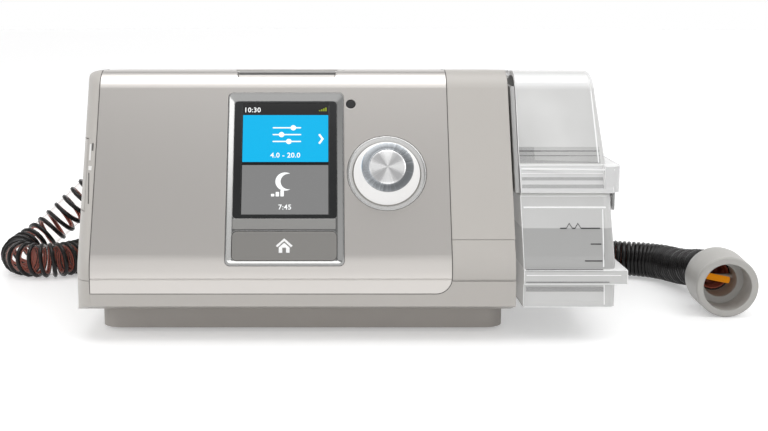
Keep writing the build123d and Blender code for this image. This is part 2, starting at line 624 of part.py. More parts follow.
# fixed cover over the part that sits in the bay, with the two air ports and a full-height end wall
cover_z0 = tub_rim_z + seal_t
bulkhead_x0, bulkhead_x1 = case_right_x + 1.4, tub_x0 - 0.3
bulkhead_top = hinge_z - hinge_eye_r - 0.7
tub_inner_cover = block(tub_in_x0, bulkhead_x1, tub_in_y0, tub_in_y1, cover_z0, cover_top_z)
tub_inner_cover += casing_prism(bulkhead_x0, bulkhead_x1, **tub_pull) & block(
    0, far, front_y - 5, back_y, cover_z0, bulkhead_top)
tub_inner_cover -= block(tub_in_x0 + cover_wall, tub_x0 + 1, tub_in_y0 + cover_wall, tub_in_y1 - cover_wall,
                         cover_z0 - 1, cover_top_z - cover_wall)
for y in (port_y_in, port_y_out):
    tub_inner_cover -= rod(port_r - 0.5, (tub_in_x0 - 1, y, port_z), (tub_in_x0 + cover_wall + 1, y, port_z))
arm_spans = [(-15.0, -11.0), (3.0, 7.0)]
eye_span = (-10.7, 2.7)
for y0, y1 in arm_spans:
    tub_inner_cover += rod(hinge_eye_r, (hinge_x, y0, hinge_z), (hinge_x, y1, hinge_z))
    tub_inner_cover += block(bulkhead_x0, hinge_x, y0, y1, bulkhead_top - 1, hinge_z)
pin_y0, pin_y1 = arm_spans[0][0] + 0.2, arm_spans[1][1] - 0.2
tub_inner_cover -= rod(hinge_pin_r, (hinge_x, pin_y0, hinge_z), (hinge_x, pin_y1, hinge_z))
lid_hinge_pin = rod(hinge_pin_r, (hinge_x, pin_y0, hinge_z), (hinge_x, pin_y1, hinge_z))


def lid_front(shrink):
    """Front view of the lid: upright left edge, slanted right side."""
    points = [(tub_x0 + 0.2, 0), (lid_right_low_x - shrink, 0), (lid_right_low_x - shrink, skirt_z1),
              (lid_right_top_x - shrink, top_z + 4), (tub_x0 + 0.2, top_z + 4)]
    return front_shape(points, [0, 0, 0, 0, 0], front_y - 5, back_y + 5)


# clear lid over the outer part
over_rim = block(0, far, front_y - 5, back_y, skirt_z0, top_z + 5)
lid_body = casing_prism(tub_x0 + 0.2, tub_right_x + 2, **tub_pull) & lid_front(0) & over_rim
slanted = [f for f in lid_body.faces() if f.center().X > lid_right_top_x and f.center().Z > skirt_z1]
side_edges = []
for edge in slanted[0].edges():
    box = edge.bounding_box()
    if box.min.Z > skirt_z1 - 1 and box.size.Z > 0.2:
        side_edges.append(edge)
lid_body = fillet(side_edges, 3.0)
lid_hollow = casing_prism(tub_x0 - 1, tub_right_x, low_z=0, **hollow_pull) & (
    lid_front(tub_wall) + block(tub_x0 - 2, tub_x0 + 1, front_y, back_y, 0, top_z + 4))
skirt = casing_prism(tub_x0 + 0.2, tub_right_x + 0.8, front=tub_front_inset - 0.9, top=0,
                     rear_y=tub_back_y + 0.9) & block(0, far, front_y - 5, back_y, skirt_z0, skirt_z1)
ledge_y0, ledge_y1 = -57.0, 40.0
ledge = block(tub_right_x - 3, ledge_x, ledge_y0, ledge_y1, skirt_z0, skirt_z1)
ledge = fillet(ledge.edges().filter_by(Axis.Z).group_by(Axis.X)[-1], 6.0)
ledge -= block(tub_right_x + 0.8, ledge_x - 1.6, ledge_y0 + 5, ledge_y1 - 5, skirt_z0 - 1, skirt_z1 - 1.8)
tub_lid = lid_body + skirt + ledge - lid_hollow
tub_lid += rod(hinge_eye_r, (hinge_x, eye_span[0], hinge_z), (hinge_x, eye_span[1], hinge_z))
tub_lid += block(hinge_x, hinge_x + 3.0, eye_span[0], eye_span[1], hinge_z, hinge_z + hinge_eye_r - 0.6)
tub_lid -= rod(hinge_pin_r + hinge_clear, (hinge_x, pin_y0 - 1, hinge_z), (hinge_x, pin_y1 + 1, hinge_z))
for y0, y1 in arm_spans:
    tub_lid -= block(tub_x0 - 1, hinge_x + hinge_eye_r + 0.5, y0 - 0.3, y1 + 0.3, hinge_z - 5, top_z + 5)
catch_x0, catch_x1 = tub_right_x + 1.5, ledge_x - 1.6
lid_catch = block(catch_x0, catch_x1, catch_y0, catch_y1, tub_rim_z - 5.2, skirt_z1 - 1.8)
lid_catch += block(tub_right_x + 0.6, catch_x0, catch_y0, catch_y1, tub_rim_z - 5.2, tub_rim_z - 3.9)

# ---------------------------------------------------------------- rear fittings
rear_in_y = back_y - case_wall
flange_t = 2.0
outlet_flange_r = outlet_r + 4.0
air_outlet = tube(outlet_r, outlet_bore, (outlet_x, outlet_inner_y, outlet_z),
                  (outlet_x, outlet_reach, outlet_z))
air_outlet += tube(outlet_flange_r, outlet_bore, (outlet_x, rear_in_y - flange_t, outlet_z),
                   (outlet_x, rear_in_y, outlet_z))

# rear panel, let into the rear wall and held behind it by tabs
panel_x0, panel_x1 = filter_x0 - panel_margin, outlet_x + outlet_flange_r + flange_t
panel_z0, panel_z1 = split_z + post_height + 0.3, outlet_z + outlet_flange_r + flange_t


def panel_shape(grow, y0, y1):
    body = block(panel_x0 - grow, panel_x1 + grow, y0, y1, panel_z0 - grow, panel_z1 + grow)
    return fillet(body.edges().filter_by(Axis.Y), panel_corner_r + grow)


upper_case -= panel_shape(seam, rear_in_y - 5, back_y + 1)
rear_panel = panel_shape(0, rear_in_y, back_y)
tab_y1 = rear_in_y - 0.1
tab_y0 = tab_y1 - tab_t
tabs_above = [(x, panel_z1, 1) for x in (filter_x0 + 20.0, inlet_x + 4.0)]
tabs_below = [(x, panel_z0, -1) for x in (filter_x1 + 8.0, inlet_x + 16.0)]
for x, edge_z, way in tabs_above + tabs_below:
    foot_z, inner_z, tip_z = edge_z - way * tab_w / 2, edge_z - way * seat, edge_z + way * tab_reach
    rear_panel += block(x - tab_w / 2, x + tab_w / 2, tab_y0, tab_y1, min(foot_z, tip_z), max(foot_z, tip_z))
    rear_panel += block(x - tab_w / 2, x + tab_w / 2, tab_y0, rear_in_y,
                        min(foot_z, inner_z), max(foot_z, inner_z))
rear_panel -= rod(outlet_r + 0.1, (outlet_x, rear_in_y - 1, outlet_z), (outlet_x, back_y + 1, outlet_z))

inlet_x0, inlet_x1 = inlet_x - inlet_w / 2, inlet_x + inlet_w / 2
inlet_z0, inlet_z1 = inlet_z - inlet_h / 2, inlet_z + inlet_h / 2
inlet_wall = 1.2
power_inlet = block(inlet_x0, inlet_x1, back_y - inlet_deep, back_y - 0.4, inlet_z0, inlet_z1)
power_inlet += block(inlet_x0 - flange_t, inlet_x1 + flange_t, rear_in_y - flange_t, rear_in_y,
                     inlet_z0 - flange_t, inlet_z1 + flange_t)
power_inlet -= block(inlet_x0 + inlet_wall, inlet_x1 - inlet_wall, back_y - inlet_deep + 1.5, back_y + 1,
                     inlet_z0 + inlet_wall, inlet_z1 - inlet_wall)
for x in (inlet_x - 4.0, inlet_x, inlet_x + 4.0):
    power_inlet += rod(0.7, (x, back_y - inlet_deep + 1, inlet_z), (x, back_y - 5.8, inlet_z))
rear_panel -= block(inlet_x0 - 0.1, inlet_x1 + 0.1, rear_in_y - 1, back_y + 1, inlet_z0 - 0.1, inlet_z1 + 0.1)

peg_r = 0.7
filter_pivot_y, filter_pivot_z = back_y - 1.05, filter_z0 + 1.5
air_filter_cover = block(filter_x0, filter_x1, rear_in_y, back_y, filter_z0, filter_z1)
slot_count = 8
slot_pitch = (filter_x1 - filter_x0 - 8.0) / slot_count
slot_w = 0.58 * slot_pitch
for i in range(slot_count):
    x = filter_x0 + 4.0 + (i + 0.5) * slot_pitch
    air_filter_cover -= block(x - slot_w / 2, x + slot_w / 2, rear_in_y - 1, back_y + 1,
                              filter_z0 + 7, filter_z1 - 4)
air_filter_cover += rod(peg_r, (filter_x0 - 1.4, filter_pivot_y, filter_pivot_z),
                        (filter_x1 + 1.4, filter_pivot_y, filter_pivot_z))
rear_panel -= block(filter_x0 - seat, filter_x1 + seat, rear_in_y - 1, back_y + 1,
                    filter_z0 - 0.5, filter_z1 + seat)
for x0, x1 in ((filter_x0 - 3.0, filter_x0 - seat), (filter_x1 + seat, filter_x1 + 3.0)):
    rear_panel += block(x0, x1, rear_in_y - 1.2, back_y - 0.1, filter_z0, filter_z0 + 4)
rear_panel -= rod(peg_r + hinge_clear, (filter_x0 - 1.7, filter_pivot_y, filter_pivot_z),
                  (filter_x1 + 1.7, filter_pivot_y, filter_pivot_z))
housing_x0, housing_x1 = filter_x0 - 3.0, filter_x1 + 3.0
housing_z0, housing_z1 = filter_z0 - 2.0, filter_z1 + 2.0
housing_y1 = rear_in_y - 1.2
filter_housing = block(housing_x0, housing_x1, housing_y1 - 7.5, housing_y1, housing_z0, housing_z1)
filter_housing -= block(filter_x0, filter_x1, housing_y1 - 5.7, housing_y1 + 1, filter_z0 + 1, filter_z1 - 1)
filter_housing -= block(filter_x0 + 3, filter_x1 - 3, housing_y1 - 9, housing_y1,
                        filter_z0 + 4, filter_z1 - 4)
for z in (inlet_z, filter_z1 - 12):
    filter_housing += block(filter_x0 + 2, filter_x1 - 2, housing_y1 - 7.5, housing_y1 - 6, z - 0.8, z + 0.8)
air_filter = block(filter_x0 + seat, filter_x1 - seat, housing_y1 - 5.7, housing_y1 - 0.6,
                   filter_z0 + 1 + seat, filter_z1 - 1 - seat)

# ---------------------------------------------------------------- memory card
card_x0 = case_left_x + 5.5
socket_x0 = card_x0 + 4.0
sd_card = block(card_x0, card_x0 + card_l, card_y - card_w / 2, card_y + card_w / 2, card_z, card_z + card_t)
sd_socket = block(socket_x0, card_x0 + card_l + 2.5, card_y - card_w / 2 - 2, card_y + card_w / 2 + 2,
                  card_z - socket_under, card_z + card_t + 1.6)
sd_socket -= block(socket_x0 - 1, card_x0 + card_l, card_y - card_w / 2 - 0.1, card_y + card_w / 2 + 0.1,
                   card_z, card_z + card_t + 0.1)
side_board = block(socket_x0, board_posts[1][0] + side_board_past, card_y - side_board_front,
                   card_y + side_board_back, card_z - socket_under - board_t, card_z - socket_under)

# ---------------------------------------------------------------- blower
floor_z = case_low_z + case_wall
blower_base = rod(blower_r, (blower_x, blower_y, blower_z0), (blower_x, blower_y, blower_z1))
blower_inner_r = blower_r - blower_wall
blower_base -= rod(blower_inner_r, (blower_x, blower_y, blower_z0 + blower_wall), (blower_x, blower_y, far))
motor_z0 = blower_z0 + blower_wall
motor_z1 = motor_z0 + motor_height
blower_motor = tube(motor_r, motor_shaft_r + running, (blower_x, blower_y, motor_z0),
                    (blower_x, blower_y, motor_z1))
impeller_z0 = motor_z1 + 2.0
impeller_z1 = blower_z2 - blower_wall - 3.0
blower_shaft = rod(motor_shaft_r, (blower_x, blower_y, motor_z0 + 0.5), (blower_x, blower_y, impeller_z1))
blower_impeller = rod(impeller_r, (blower_x, blower_y, impeller_z0), (blower_x, blower_y, impeller_z0 + 1.6))
blower_impeller += rod(5.5, (blower_x, blower_y, impeller_z0), (blower_x, blower_y, impeller_z1))
blade_count = 11
for i in range(blade_count):
    blade = block(9.0, impeller_r - 0.6, -0.6, 0.6, impeller_z0 + 1.0, impeller_z1)
    blower_impeller += Pos(blower_x, blower_y, 0) * Rot(0, 0, i * 360 / blade_count) * blade
blower_impeller -= rod(motor_shaft_r, (blower_x, blower_y, 0), (blower_x, blower_y, far))
blower_cover = rod(blower_r, (blower_x, blower_y, blower_z1), (blower_x, blower_y, blower_z2))
blower_cover -= rod(blower_inner_r, (blower_x, blower_y, 0), (blower_x, blower_y, blower_z2 - blower_wall))
blower_cover -= rod(9.0, (blower_x - 4, blower_y, 0), (blower_x - 4, blower_y, far))
blower_cover -= rod(duct_inner, (riser_x, port_y_in, blower_z1), (riser_x, port_y_in, far))
blower_mounts = Part()
for degrees in (45, 135, 225, 315):
    x = blower_x + 24.0 * math.cos(math.radians(degrees))
    y = blower_y + 24.0 * math.sin(math.radians(degrees))
    blower_mounts += rod(4.0, (x, y, floor_z), (x, y, blower_z0))

# ---------------------------------------------------------------- hose
elbow_y = 86.0
elbow_end_x = outlet_x - 30.0
elbow_r = 11.6
hose_elbow = rod(elbow_r, (outlet_x, back_y + 2, outlet_z), (outlet_x, elbow_y, outlet_z))
hose_elbow += Pos(outlet_x, elbow_y, outlet_z) * Sphere(elbow_r)
hose_elbow += rod(elbow_r, (outlet_x, elbow_y, outlet_z), (elbow_end_x, elbow_y, outlet_z))
hose_elbow += rod(outlet_r + 2.6, (outlet_x, back_y + 1.5, outlet_z), (outlet_x, outlet_reach + 1, outlet_z))
hose_elbow -= rod(outlet_r + 0.05, (outlet_x, back_y, outlet_z), (outlet_x, outlet_reach + 0.3, outlet_z))
hose_elbow -= rod(outlet_bore, (outlet_x, back_y, outlet_z), (outlet_x, elbow_y, outlet_z))
hose_elbow -= Pos(outlet_x, elbow_y, outlet_z) * Sphere(outlet_bore)
hose_elbow -= rod(outlet_bore - 1.5, (outlet_x, elbow_y, outlet_z), (elbow_end_x, elbow_y, outlet_z))

# centre of the hose, chosen by eye for the way it falls behind the casing, turns at the left and lies down
hose_a_points = [(elbow_end_x, elbow_y, outlet_z), (elbow_end_x - 26, elbow_y, outlet_z), (-97, 91, 71.5)]
hose_a_points += [(case_left_x + past, y, z) for past, y, z in (
    (-4, 97, 57), (-26, 98, 37.5), (-43.5, 96, 20.5), (-55, 87, 12), (-60.2, 72, hose_r),
    (-52.4, 57, hose_r), (-35.5, 54, hose_r), (-23.5, 65.5, hose_r), (-16, 83.5, hose_r), (5, 102, hose_r))]
hose_a_points += [(-82, 112, hose_r), (-44, 115, hose_r)]
hose_b_points = []
for degrees, height in ((232, 28.5), (256, 32.5), (280, 39.0), (304, 44.5)):
    turn = math.radians(degrees)
    hose_b_points.append((coil_centre[0] + coil_mean_r * math.sin(turn),
                          coil_centre[1] - coil_mean_r * math.cos(turn), height))
hose_b_points += [
    (-52, 128.5, 45.5), (-22, 112.5, 40.5), (3, 101, 34), (35, 94, 20.5), (67, 94, 10.5), (95, 95, hose_r),
    (118, 85.5, hose_r), (134, 70.5, hose_r), (147.5, 61.5, hose_r), (160, 58, hose_r), (170.5, 51, hose_r),
    (175, 40, 9.8), (177, 28, 11.4), (179.6, 16.5, 14.0), (180.525, 5.5, 15.41), (180, -5, 15.2),
]


def hose_stretch(name, points):
    """Round tube along straight runs joined by tangent arcs; prints its radii and its volume."""
    corners = [Vector(*p) for p in points]
    radii = []
    for before, here, after in zip(corners, corners[1:], corners[2:]):
        turn = math.radians((here - before).get_angle(after - here))
        radii.append(0.45 * min((here - before).length, (after - here).length) / math.tan(turn / 2))
    path = FilletPolyline(*points, radius=radii)
    start = Plane(path @ 0, z_dir=path % 0)
    solid = sweep(start * Circle(hose_r), path=path)
    expected = math.pi * hose_r ** 2 * path.length
    print(name, "radii", [round(r, 1) for r in radii], "length", round(path.length, 1),
          "volume over section times length", round(solid.volume / expected, 4))
    return solid


hose_run_a = hose_stretch("hose_run_a", hose_a_points)
hose_run_b = hose_stretch("hose_run_b", hose_b_points)
coil_height = hose_d * coil_layers
ring = Pos(coil_mean_r, coil_height / 2) * RectangleRounded(hose_d, coil_height, hose_r - 0.5)
hose_coil = Pos(*coil_centre, 0) * revolve(Plane.XZ * ring, Axis.Z)

cuff_back = Vector(*hose_b_points[-1])
cuff_axis = Vector(-0.05, -1.0, -0.02).normalized()
cuff_plane = Plane(cuff_back, x_dir=(1, -0.05, 0), z_dir=cuff_axis)
cuff_side = [(0, 0), (10.8, 0), (13.4, 1.6), (14.5, 4.0), (cuff_swell_r, 7.5), (cuff_swell_r, 11.0),
             (14.7, 16.5), (14.3, 22.0), (14.2, 24.0), (cuff_r, 25.0), (cuff_r, 26.2), (14.0, cuff_length),
             (0, cuff_length)]
cuff_solid = revolve(Plane.XZ * make_face(Polyline(*cuff_side, close=True).edges()), Axis.Z)
cuff_solid -= rod(cuff_bore, (0, 0, cuff_length - cuff_bore_deep), (0, 0, cuff_length + 1))
cuff_solid -= rod(8.0, (0, 0, -1), (0, 0, cuff_length))
cuff_solid += block(-8.5, 8.5, -0.9, 0.9, 2.0, 4.5)
sensor_start, sensor_end = (-3.6, 0, 4.2), (4.2, 0, 12.0)
cuff_solid -= rod(1.65, sensor_start, sensor_end)
mask_cuff = cuff_plane * cuff_solid
sensor_rod = rod(1.6, sensor_start, sensor_end)
hose_sensor = cuff_plane * sensor_rod

# ---------------------------------------------------------------- files
nodes = dict(
    base_pan=base_pan, rubber_feet=rubber_feet, case_screws=case_screws, lower_case=lower_case,
    upper_case=upper_case, rear_panel=rear_panel, left_side_cover=left_side_cover,
    sd_card_cover=sd_card_cover, fascia=fascia, label_plate=label_plate, display_surround=surround,
    display_frame=display_frame, display_window=display_window, lcd_module=lcd_module,
    home_button=home_button, home_switch=home_switch, light_sensor=light_sensor,
    power_button=power_button, power_switch=power_switch, switch_board=switch_board, dial_well=dial_well,
    dial_skirt=dial_skirt, dial_cap=dial_cap, dial_disc=dial_disc, dial_shaft=dial_shaft,
    dial_rotor=dial_rotor, dial_encoder=dial_encoder, control_board=control_board, side_board=side_board,
    sd_socket=sd_socket, sd_card=sd_card, blower_base=blower_base, blower_cover=blower_cover,
    blower_motor=blower_motor, blower_shaft=blower_shaft, blower_impeller=blower_impeller,
    blower_mounts=blower_mounts, inlet_duct=inlet_duct, outlet_duct=outlet_duct, bay_liner=bay_liner,
    bay_seals=bay_seals, heater_plate=heater_plate, tub_base=tub_base, tub_steel_plate=tub_steel_plate,
    tub_seal=tub_seal, tub_inner_cover=tub_inner_cover, lid_hinge_pin=lid_hinge_pin, tub_lid=tub_lid,
    lid_catch=lid_catch, air_outlet=air_outlet, power_inlet=power_inlet,
    air_filter_cover=air_filter_cover, filter_housing=filter_housing, air_filter=air_filter,
    hose_elbow=hose_elbow, hose_run_a=hose_run_a, hose_coil=hose_coil, hose_run_b=hose_run_b,
    mask_cuff=mask_cuff, hose_sensor=hose_sensor,
)
os.makedirs("parts", exist_ok=True)
for name, solid in nodes.items():
    export_step(solid, f"parts/{name}.step")
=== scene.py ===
"""Bench-top breathing machine: finishes, screen, dial, clear water tub and heated hose."""
import math

import bmesh
import bpy
from bpy.props import FloatProperty, FloatVectorProperty, IntProperty, PointerProperty
from mathutils import Matrix, Vector


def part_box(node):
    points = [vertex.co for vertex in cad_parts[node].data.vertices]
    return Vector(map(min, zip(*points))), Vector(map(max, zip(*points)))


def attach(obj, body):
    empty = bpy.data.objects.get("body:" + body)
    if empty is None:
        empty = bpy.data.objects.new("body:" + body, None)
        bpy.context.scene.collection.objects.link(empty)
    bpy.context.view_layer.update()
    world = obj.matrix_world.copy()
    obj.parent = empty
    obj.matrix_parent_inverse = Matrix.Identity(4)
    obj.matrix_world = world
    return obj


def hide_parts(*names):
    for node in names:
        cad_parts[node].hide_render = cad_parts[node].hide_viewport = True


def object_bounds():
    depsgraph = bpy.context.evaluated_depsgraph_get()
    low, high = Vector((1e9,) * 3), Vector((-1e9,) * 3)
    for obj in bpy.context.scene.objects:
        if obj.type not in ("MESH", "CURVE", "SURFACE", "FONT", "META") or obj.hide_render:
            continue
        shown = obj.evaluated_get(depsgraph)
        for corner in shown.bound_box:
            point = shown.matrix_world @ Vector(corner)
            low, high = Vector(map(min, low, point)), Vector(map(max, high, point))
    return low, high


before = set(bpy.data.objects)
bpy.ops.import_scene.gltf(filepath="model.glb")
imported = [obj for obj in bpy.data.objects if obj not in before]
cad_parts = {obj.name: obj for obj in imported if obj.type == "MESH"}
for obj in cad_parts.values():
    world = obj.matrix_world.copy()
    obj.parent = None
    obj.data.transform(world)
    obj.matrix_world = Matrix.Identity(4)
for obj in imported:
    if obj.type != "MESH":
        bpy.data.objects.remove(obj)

bl_info = {
    "name": "Breathing Machine",
    "version": (1, 0, 0),
    "blender": (4, 5, 0),
    "location": "View3D > Sidebar > Machine",
    "description": "Dresses the machine's solids with finishes, a screen, water, and a ribbed heated hose",
    "category": "Object",
}

CAD_BOX = [list(corner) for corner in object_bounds()]
MM = 0.001


def tone(red, green, blue):
    """A display colour, 0 to 255, as the linear colour that materials take."""
    linear = []
    for value in (red, green, blue):
        value /= 255
        linear.append(value / 12.92 if value <= 0.04045 else ((value + 0.055) / 1.055) ** 2.4)
    return tuple(linear)


# ---------------------------------------------------------------- sizes and colours a user may change
def length(name, description, default_mm):
    return FloatProperty(name=name, description=description, default=default_mm * MM, unit="LENGTH",
                         precision=5)


def paint(name, description, colour):
    return FloatVectorProperty(name=name, description=description, default=colour, subtype="COLOR",
                               size=3, min=0.0, max=1.0)


class MachineSizes(bpy.types.PropertyGroup):
    """Sizes of what is added to the solids."""
    film_radius: length("Hose film radius", "Outside of the thin film between the ribs", 8.3)
    rib_radius: length("Rib thickness", "Half the thickness of the ribs wound round the hose", 1.2)
    wire_radius: length("Wire thickness", "Half the thickness of the heating wires in the hose", 0.55)
    rib_steps: IntProperty(name="Rib steps", description="Points along one turn of a rib", default=18,
                           min=8, max=32)
    water_level: length("Water level", "Height of the water in the tub, above the table", 49.0)
    mark_thickness: length("Mark thickness", "Height of the printed marks on the tub", 0.42)
    edge_round: length("Edge rounding", "Radius that edges of moulded parts seem to have", 0.45)


class MachineColours(bpy.types.PropertyGroup):
    """Colours of the finishes."""
    casing: paint("Casing", "Warm grey moulded casing", tone(187, 183, 178))
    base: paint("Base", "Darker base tray", tone(176, 171, 166))
    fascia: paint("Fascia", "Silver paint on the front", tone(205, 201, 197))
    surround: paint("Surround", "Brighter silver round the screen", tone(168, 168, 167))
    tile_blue: paint("Blue tile", "Upper tile of the screen", tone(0, 183, 237))
    tile_grey: paint("Grey tile", "Lower tile of the screen", tone(128, 128, 128))
    rib: paint("Hose rib", "Black ribs of the hose", tone(16, 14, 14))
    wire: paint("Hose wire", "Copper red heating wires", tone(176, 88, 68))
    cuff: paint("Cuff", "Soft grey end of the hose", tone(182, 180, 176))
    clear: paint("Clear plastic", "Clear plastic of the tub and its lid", tone(226, 226, 225))
    water: paint("Water", "Tint of the water", tone(192, 192, 191))


def sizes():
    return bpy.context.scene.machine_sizes


def colours():
    return bpy.context.scene.machine_colours


# ---------------------------------------------------------------- the leaning face and the casing's side view
LEAN = math.radians(28)
FRONT_Y, KNEE_Z, KNEE_R = -75.0, 33.9, 21.6


def on_face(x, up, out=0.0):
    """Point on the leaning face: x across, up the face, out of it, all in millimetres."""
    return Vector((
        x,
        FRONT_Y + up * math.sin(LEAN) - out * math.cos(LEAN),
        KNEE_Z + up * math.cos(LEAN) + out * math.sin(LEAN),
    )) * MM


FACE_TURN = Matrix.Rotation(math.radians(90) - LEAN, 4, "X")
FACE_NORMAL = Vector((0, -math.cos(LEAN), math.sin(LEAN)))


def tub_front_y(z, inset=2.0):
    """Y of the tub's front wall at a height, in millimetres."""
    knee_y = FRONT_Y + inset
    radius = KNEE_R - inset
    reach = radius * math.tan(LEAN / 2)
    corner_z = KNEE_Z - inset * math.sin(LEAN) + inset * (1 - math.cos(LEAN)) / math.tan(LEAN)
    if z <= corner_z - reach:
        return knee_y
    if z >= corner_z + reach * math.cos(LEAN):
        return knee_y + (z - corner_z) * math.tan(LEAN)
    return knee_y + radius - math.sqrt(radius ** 2 - (z - corner_z + reach) ** 2)


# ---------------------------------------------------------------- small modelling tools
# angles between faces, in degrees: from the first an edge is sharp, up to the others it is shaded smooth
SHARP_ANGLE, SMOOTH_ANGLE, TURNED_ANGLE = 35, 40, 32
MERGE = 1e-6            # points closer than this, in metres, are one
PLATE_GAP = 0.02        # between a thin plate's back and the surface behind it, in millimetres


def deselect():
    if bpy.context.object and bpy.context.object.mode != "OBJECT":
        bpy.ops.object.mode_set(mode="OBJECT")
    bpy.ops.object.select_all(action="DESELECT")


def only(piece):
    deselect()
    piece.select_set(True)
    bpy.context.view_layer.objects.active = piece
    return piece


def added(name):
    """The object that an operator has just added, under its own name."""
    piece = bpy.context.object
    piece.name = name
    piece.data.name = name
    return piece


def placed(name, data):
    """A new object in the scene with this data."""
    piece = bpy.data.objects.new(name, data)
    bpy.context.scene.collection.objects.link(piece)
    return piece


def settle(piece):
    """Puts a piece's place, turn and size into its mesh."""
    only(piece)
    bpy.ops.object.transform_apply(location=True, rotation=True, scale=True)
    return piece


def edit(piece):
    only(piece)
    bpy.ops.object.mode_set(mode="EDIT")
    return bmesh.from_edit_mesh(piece.data)


def leave_edit():
    bpy.ops.object.mode_set(mode="OBJECT")


def select_all():
    bpy.ops.mesh.select_all(action="SELECT")


def turn_outwards():
    """Turns the faces of the piece in edit mode outwards."""
    select_all()
    bpy.ops.mesh.normals_make_consistent(inside=False)


def thicken(x, y, z):
    """Extrudes the flat piece in edit mode by a step in millimetres."""
    select_all()
    bpy.ops.mesh.extrude_region_move(TRANSFORM_OT_translate={"value": (x * MM, y * MM, z * MM)})


def soften(piece, width, segments):
    """Rounds a piece's sharp edges and shades the rest smooth."""
    only(piece)
    modifier = piece.modifiers.new("Soft edges", "BEVEL")
    modifier.width, modifier.segments, modifier.limit_method = width, segments, "ANGLE"
    modifier.angle_limit = math.radians(SHARP_ANGLE)
    bpy.ops.object.modifier_apply(modifier=modifier.name)
    bpy.ops.object.shade_smooth_by_angle(angle=math.radians(SMOOTH_ANGLE))
    return piece


def finish_piece(piece, look, body):
    piece.data.materials.clear()
    piece.data.materials.append(finish(look))
    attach(piece, body)
    return piece


def join(pieces, name):
    only(pieces[0])
    for piece in pieces[1:]:
        piece.select_set(True)
    if len(pieces) > 1:
        bpy.ops.object.join()
    return added(name)


def put_on_face(piece, x, up, out=0.0):
    piece.matrix_world = Matrix.Translation(on_face(x, up, out)) @ FACE_TURN
    return settle(piece)


def outline_plate(name, points, step, outwards=True):
    """Plate of any outline; its points in order and the step through its thickness, all in millimetres."""
    deselect()
    bpy.ops.mesh.primitive_circle_add(vertices=len(points), radius=1, fill_type="NGON", location=(0, 0, 0))
    plate = added(name)
    shape = edit(plate)
    shape.verts.ensure_lookup_table()
    for vert, point in zip(shape.verts, points):
        vert.co = Vector(point) * MM
    bmesh.update_edit_mesh(plate.data)
    thicken(*step)
    if outwards:
        turn_outwards()
    leave_edit()
    return plate


def face_plate(name, x0, x1, up0, up1, out0, thickness, corner):
    """Thin plate with rounded corners, lying on the leaning face."""
    deselect()
    bpy.ops.mesh.primitive_plane_add(size=1, location=(0, 0, 0))
    plate = added(name)
    plate.scale = ((x1 - x0) * MM, (up1 - up0) * MM, 1)
    settle(plate)
    edit(plate)
    select_all()
    bpy.ops.mesh.bevel(offset=corner * MM, segments=6, affect="VERTICES")
    thicken(0, 0, thickness)
    turn_outwards()
    leave_edit()
    return put_on_face(plate, (x0 + x1) / 2, (up0 + up1) / 2, out0)


def face_outline(name, points, out0, thickness):
    """Thin plate of any outline on the leaning face; points are (x, up) in millimetres, in order."""
    plate = outline_plate(name, [(x, up, 0) for x, up in points], (0, 0, thickness))
    return put_on_face(plate, 0, 0, out0)


def edge_bead(name, node, test, thickness, angle=SHARP_ANGLE):
    """Thin round bead along those sharp edges of a solid that pass a test of their middle, in millimetres."""
    deselect()
    bead = placed(name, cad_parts[node].data.copy())
    bead.data.name = name
    edit(bead)
    select_all()
    bpy.ops.mesh.remove_doubles(threshold=MERGE)
    shape = bmesh.from_edit_mesh(bead.data)
    kept = set()
    for edge in shape.edges:
        if len(edge.link_faces) == 2 and edge.calc_face_angle(0) > math.radians(angle):
            middle = (edge.verts[0].co + edge.verts[1].co) / 2 / MM
            if test(middle, [face.normal for face in edge.link_faces]):
                kept.add(edge.index)
    select_all()
    bpy.ops.mesh.delete(type="ONLY_FACE")
    shape = bmesh.from_edit_mesh(bead.data)
    bpy.ops.mesh.select_mode(type="EDGE")
    bpy.ops.mesh.select_all(action="DESELECT")
    shape.edges.ensure_lookup_table()
    for edge in shape.edges:
        edge.select_set(edge.index not in kept)
    bmesh.update_edit_mesh(bead.data)
    bpy.ops.mesh.delete(type="EDGE")
    select_all()
    bpy.ops.mesh.delete_loose(use_verts=True, use_edges=False, use_faces=False)
    leave_edit()
    only(bead)
    bpy.ops.object.convert(target="CURVE")
    bead = added(name)
    bead.data.bevel_depth, bead.data.bevel_resolution, bead.data.use_fill_caps = thickness * MM, 1, True
    bpy.ops.object.convert(target="MESH")
    bead = added(name)
    shape = edit(bead)
    for vert in shape.verts:
        vert.co.y = max(vert.co.y, CAD_BOX[0][1])
        vert.co.z = min(vert.co.z, CAD_BOX[1][2])
    bmesh.update_edit_mesh(bead.data)
    leave_edit()
    only(bead)
    bpy.ops.object.shade_smooth()
    return bead


def front_y(nodes, x, z):
    """Y of the first of some solids that is met from the front at (x, z), in millimetres."""
    start, ahead = Vector((x, -300, z)) * MM, []
    for node in nodes:
        met, place, *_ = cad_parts[node].ray_cast(start, Vector((0, 1, 0)))
        if met:
            ahead.append(place.y / MM)
    if not ahead:
        raise RuntimeError(f"no surface of {nodes} at {x}, {z}")
    return min(ahead)


def front_plate(name, nodes, outline, proud):
    """Thin plate that lies on the front of some solids; outline is (x, z) points in millimetres, in order."""
    points = [(x, front_y(nodes, x, z) - PLATE_GAP, z) for x, z in outline]
    return settle(outline_plate(name, points, (0, -proud, 0)))


def printed(name, look, body, nodes, plates):
    """One piece of thin plates on the front of some solids; plates are (outline, how far it stands out)."""
    parts = [front_plate(name, nodes, outline, proud) for outline, proud in plates]
    return finish_piece(join(parts, name), look, body)


def band(x0, x1, z0, z1):
    return [(x0, z0), (x1, z0), (x1, z1), (x0, z1)]


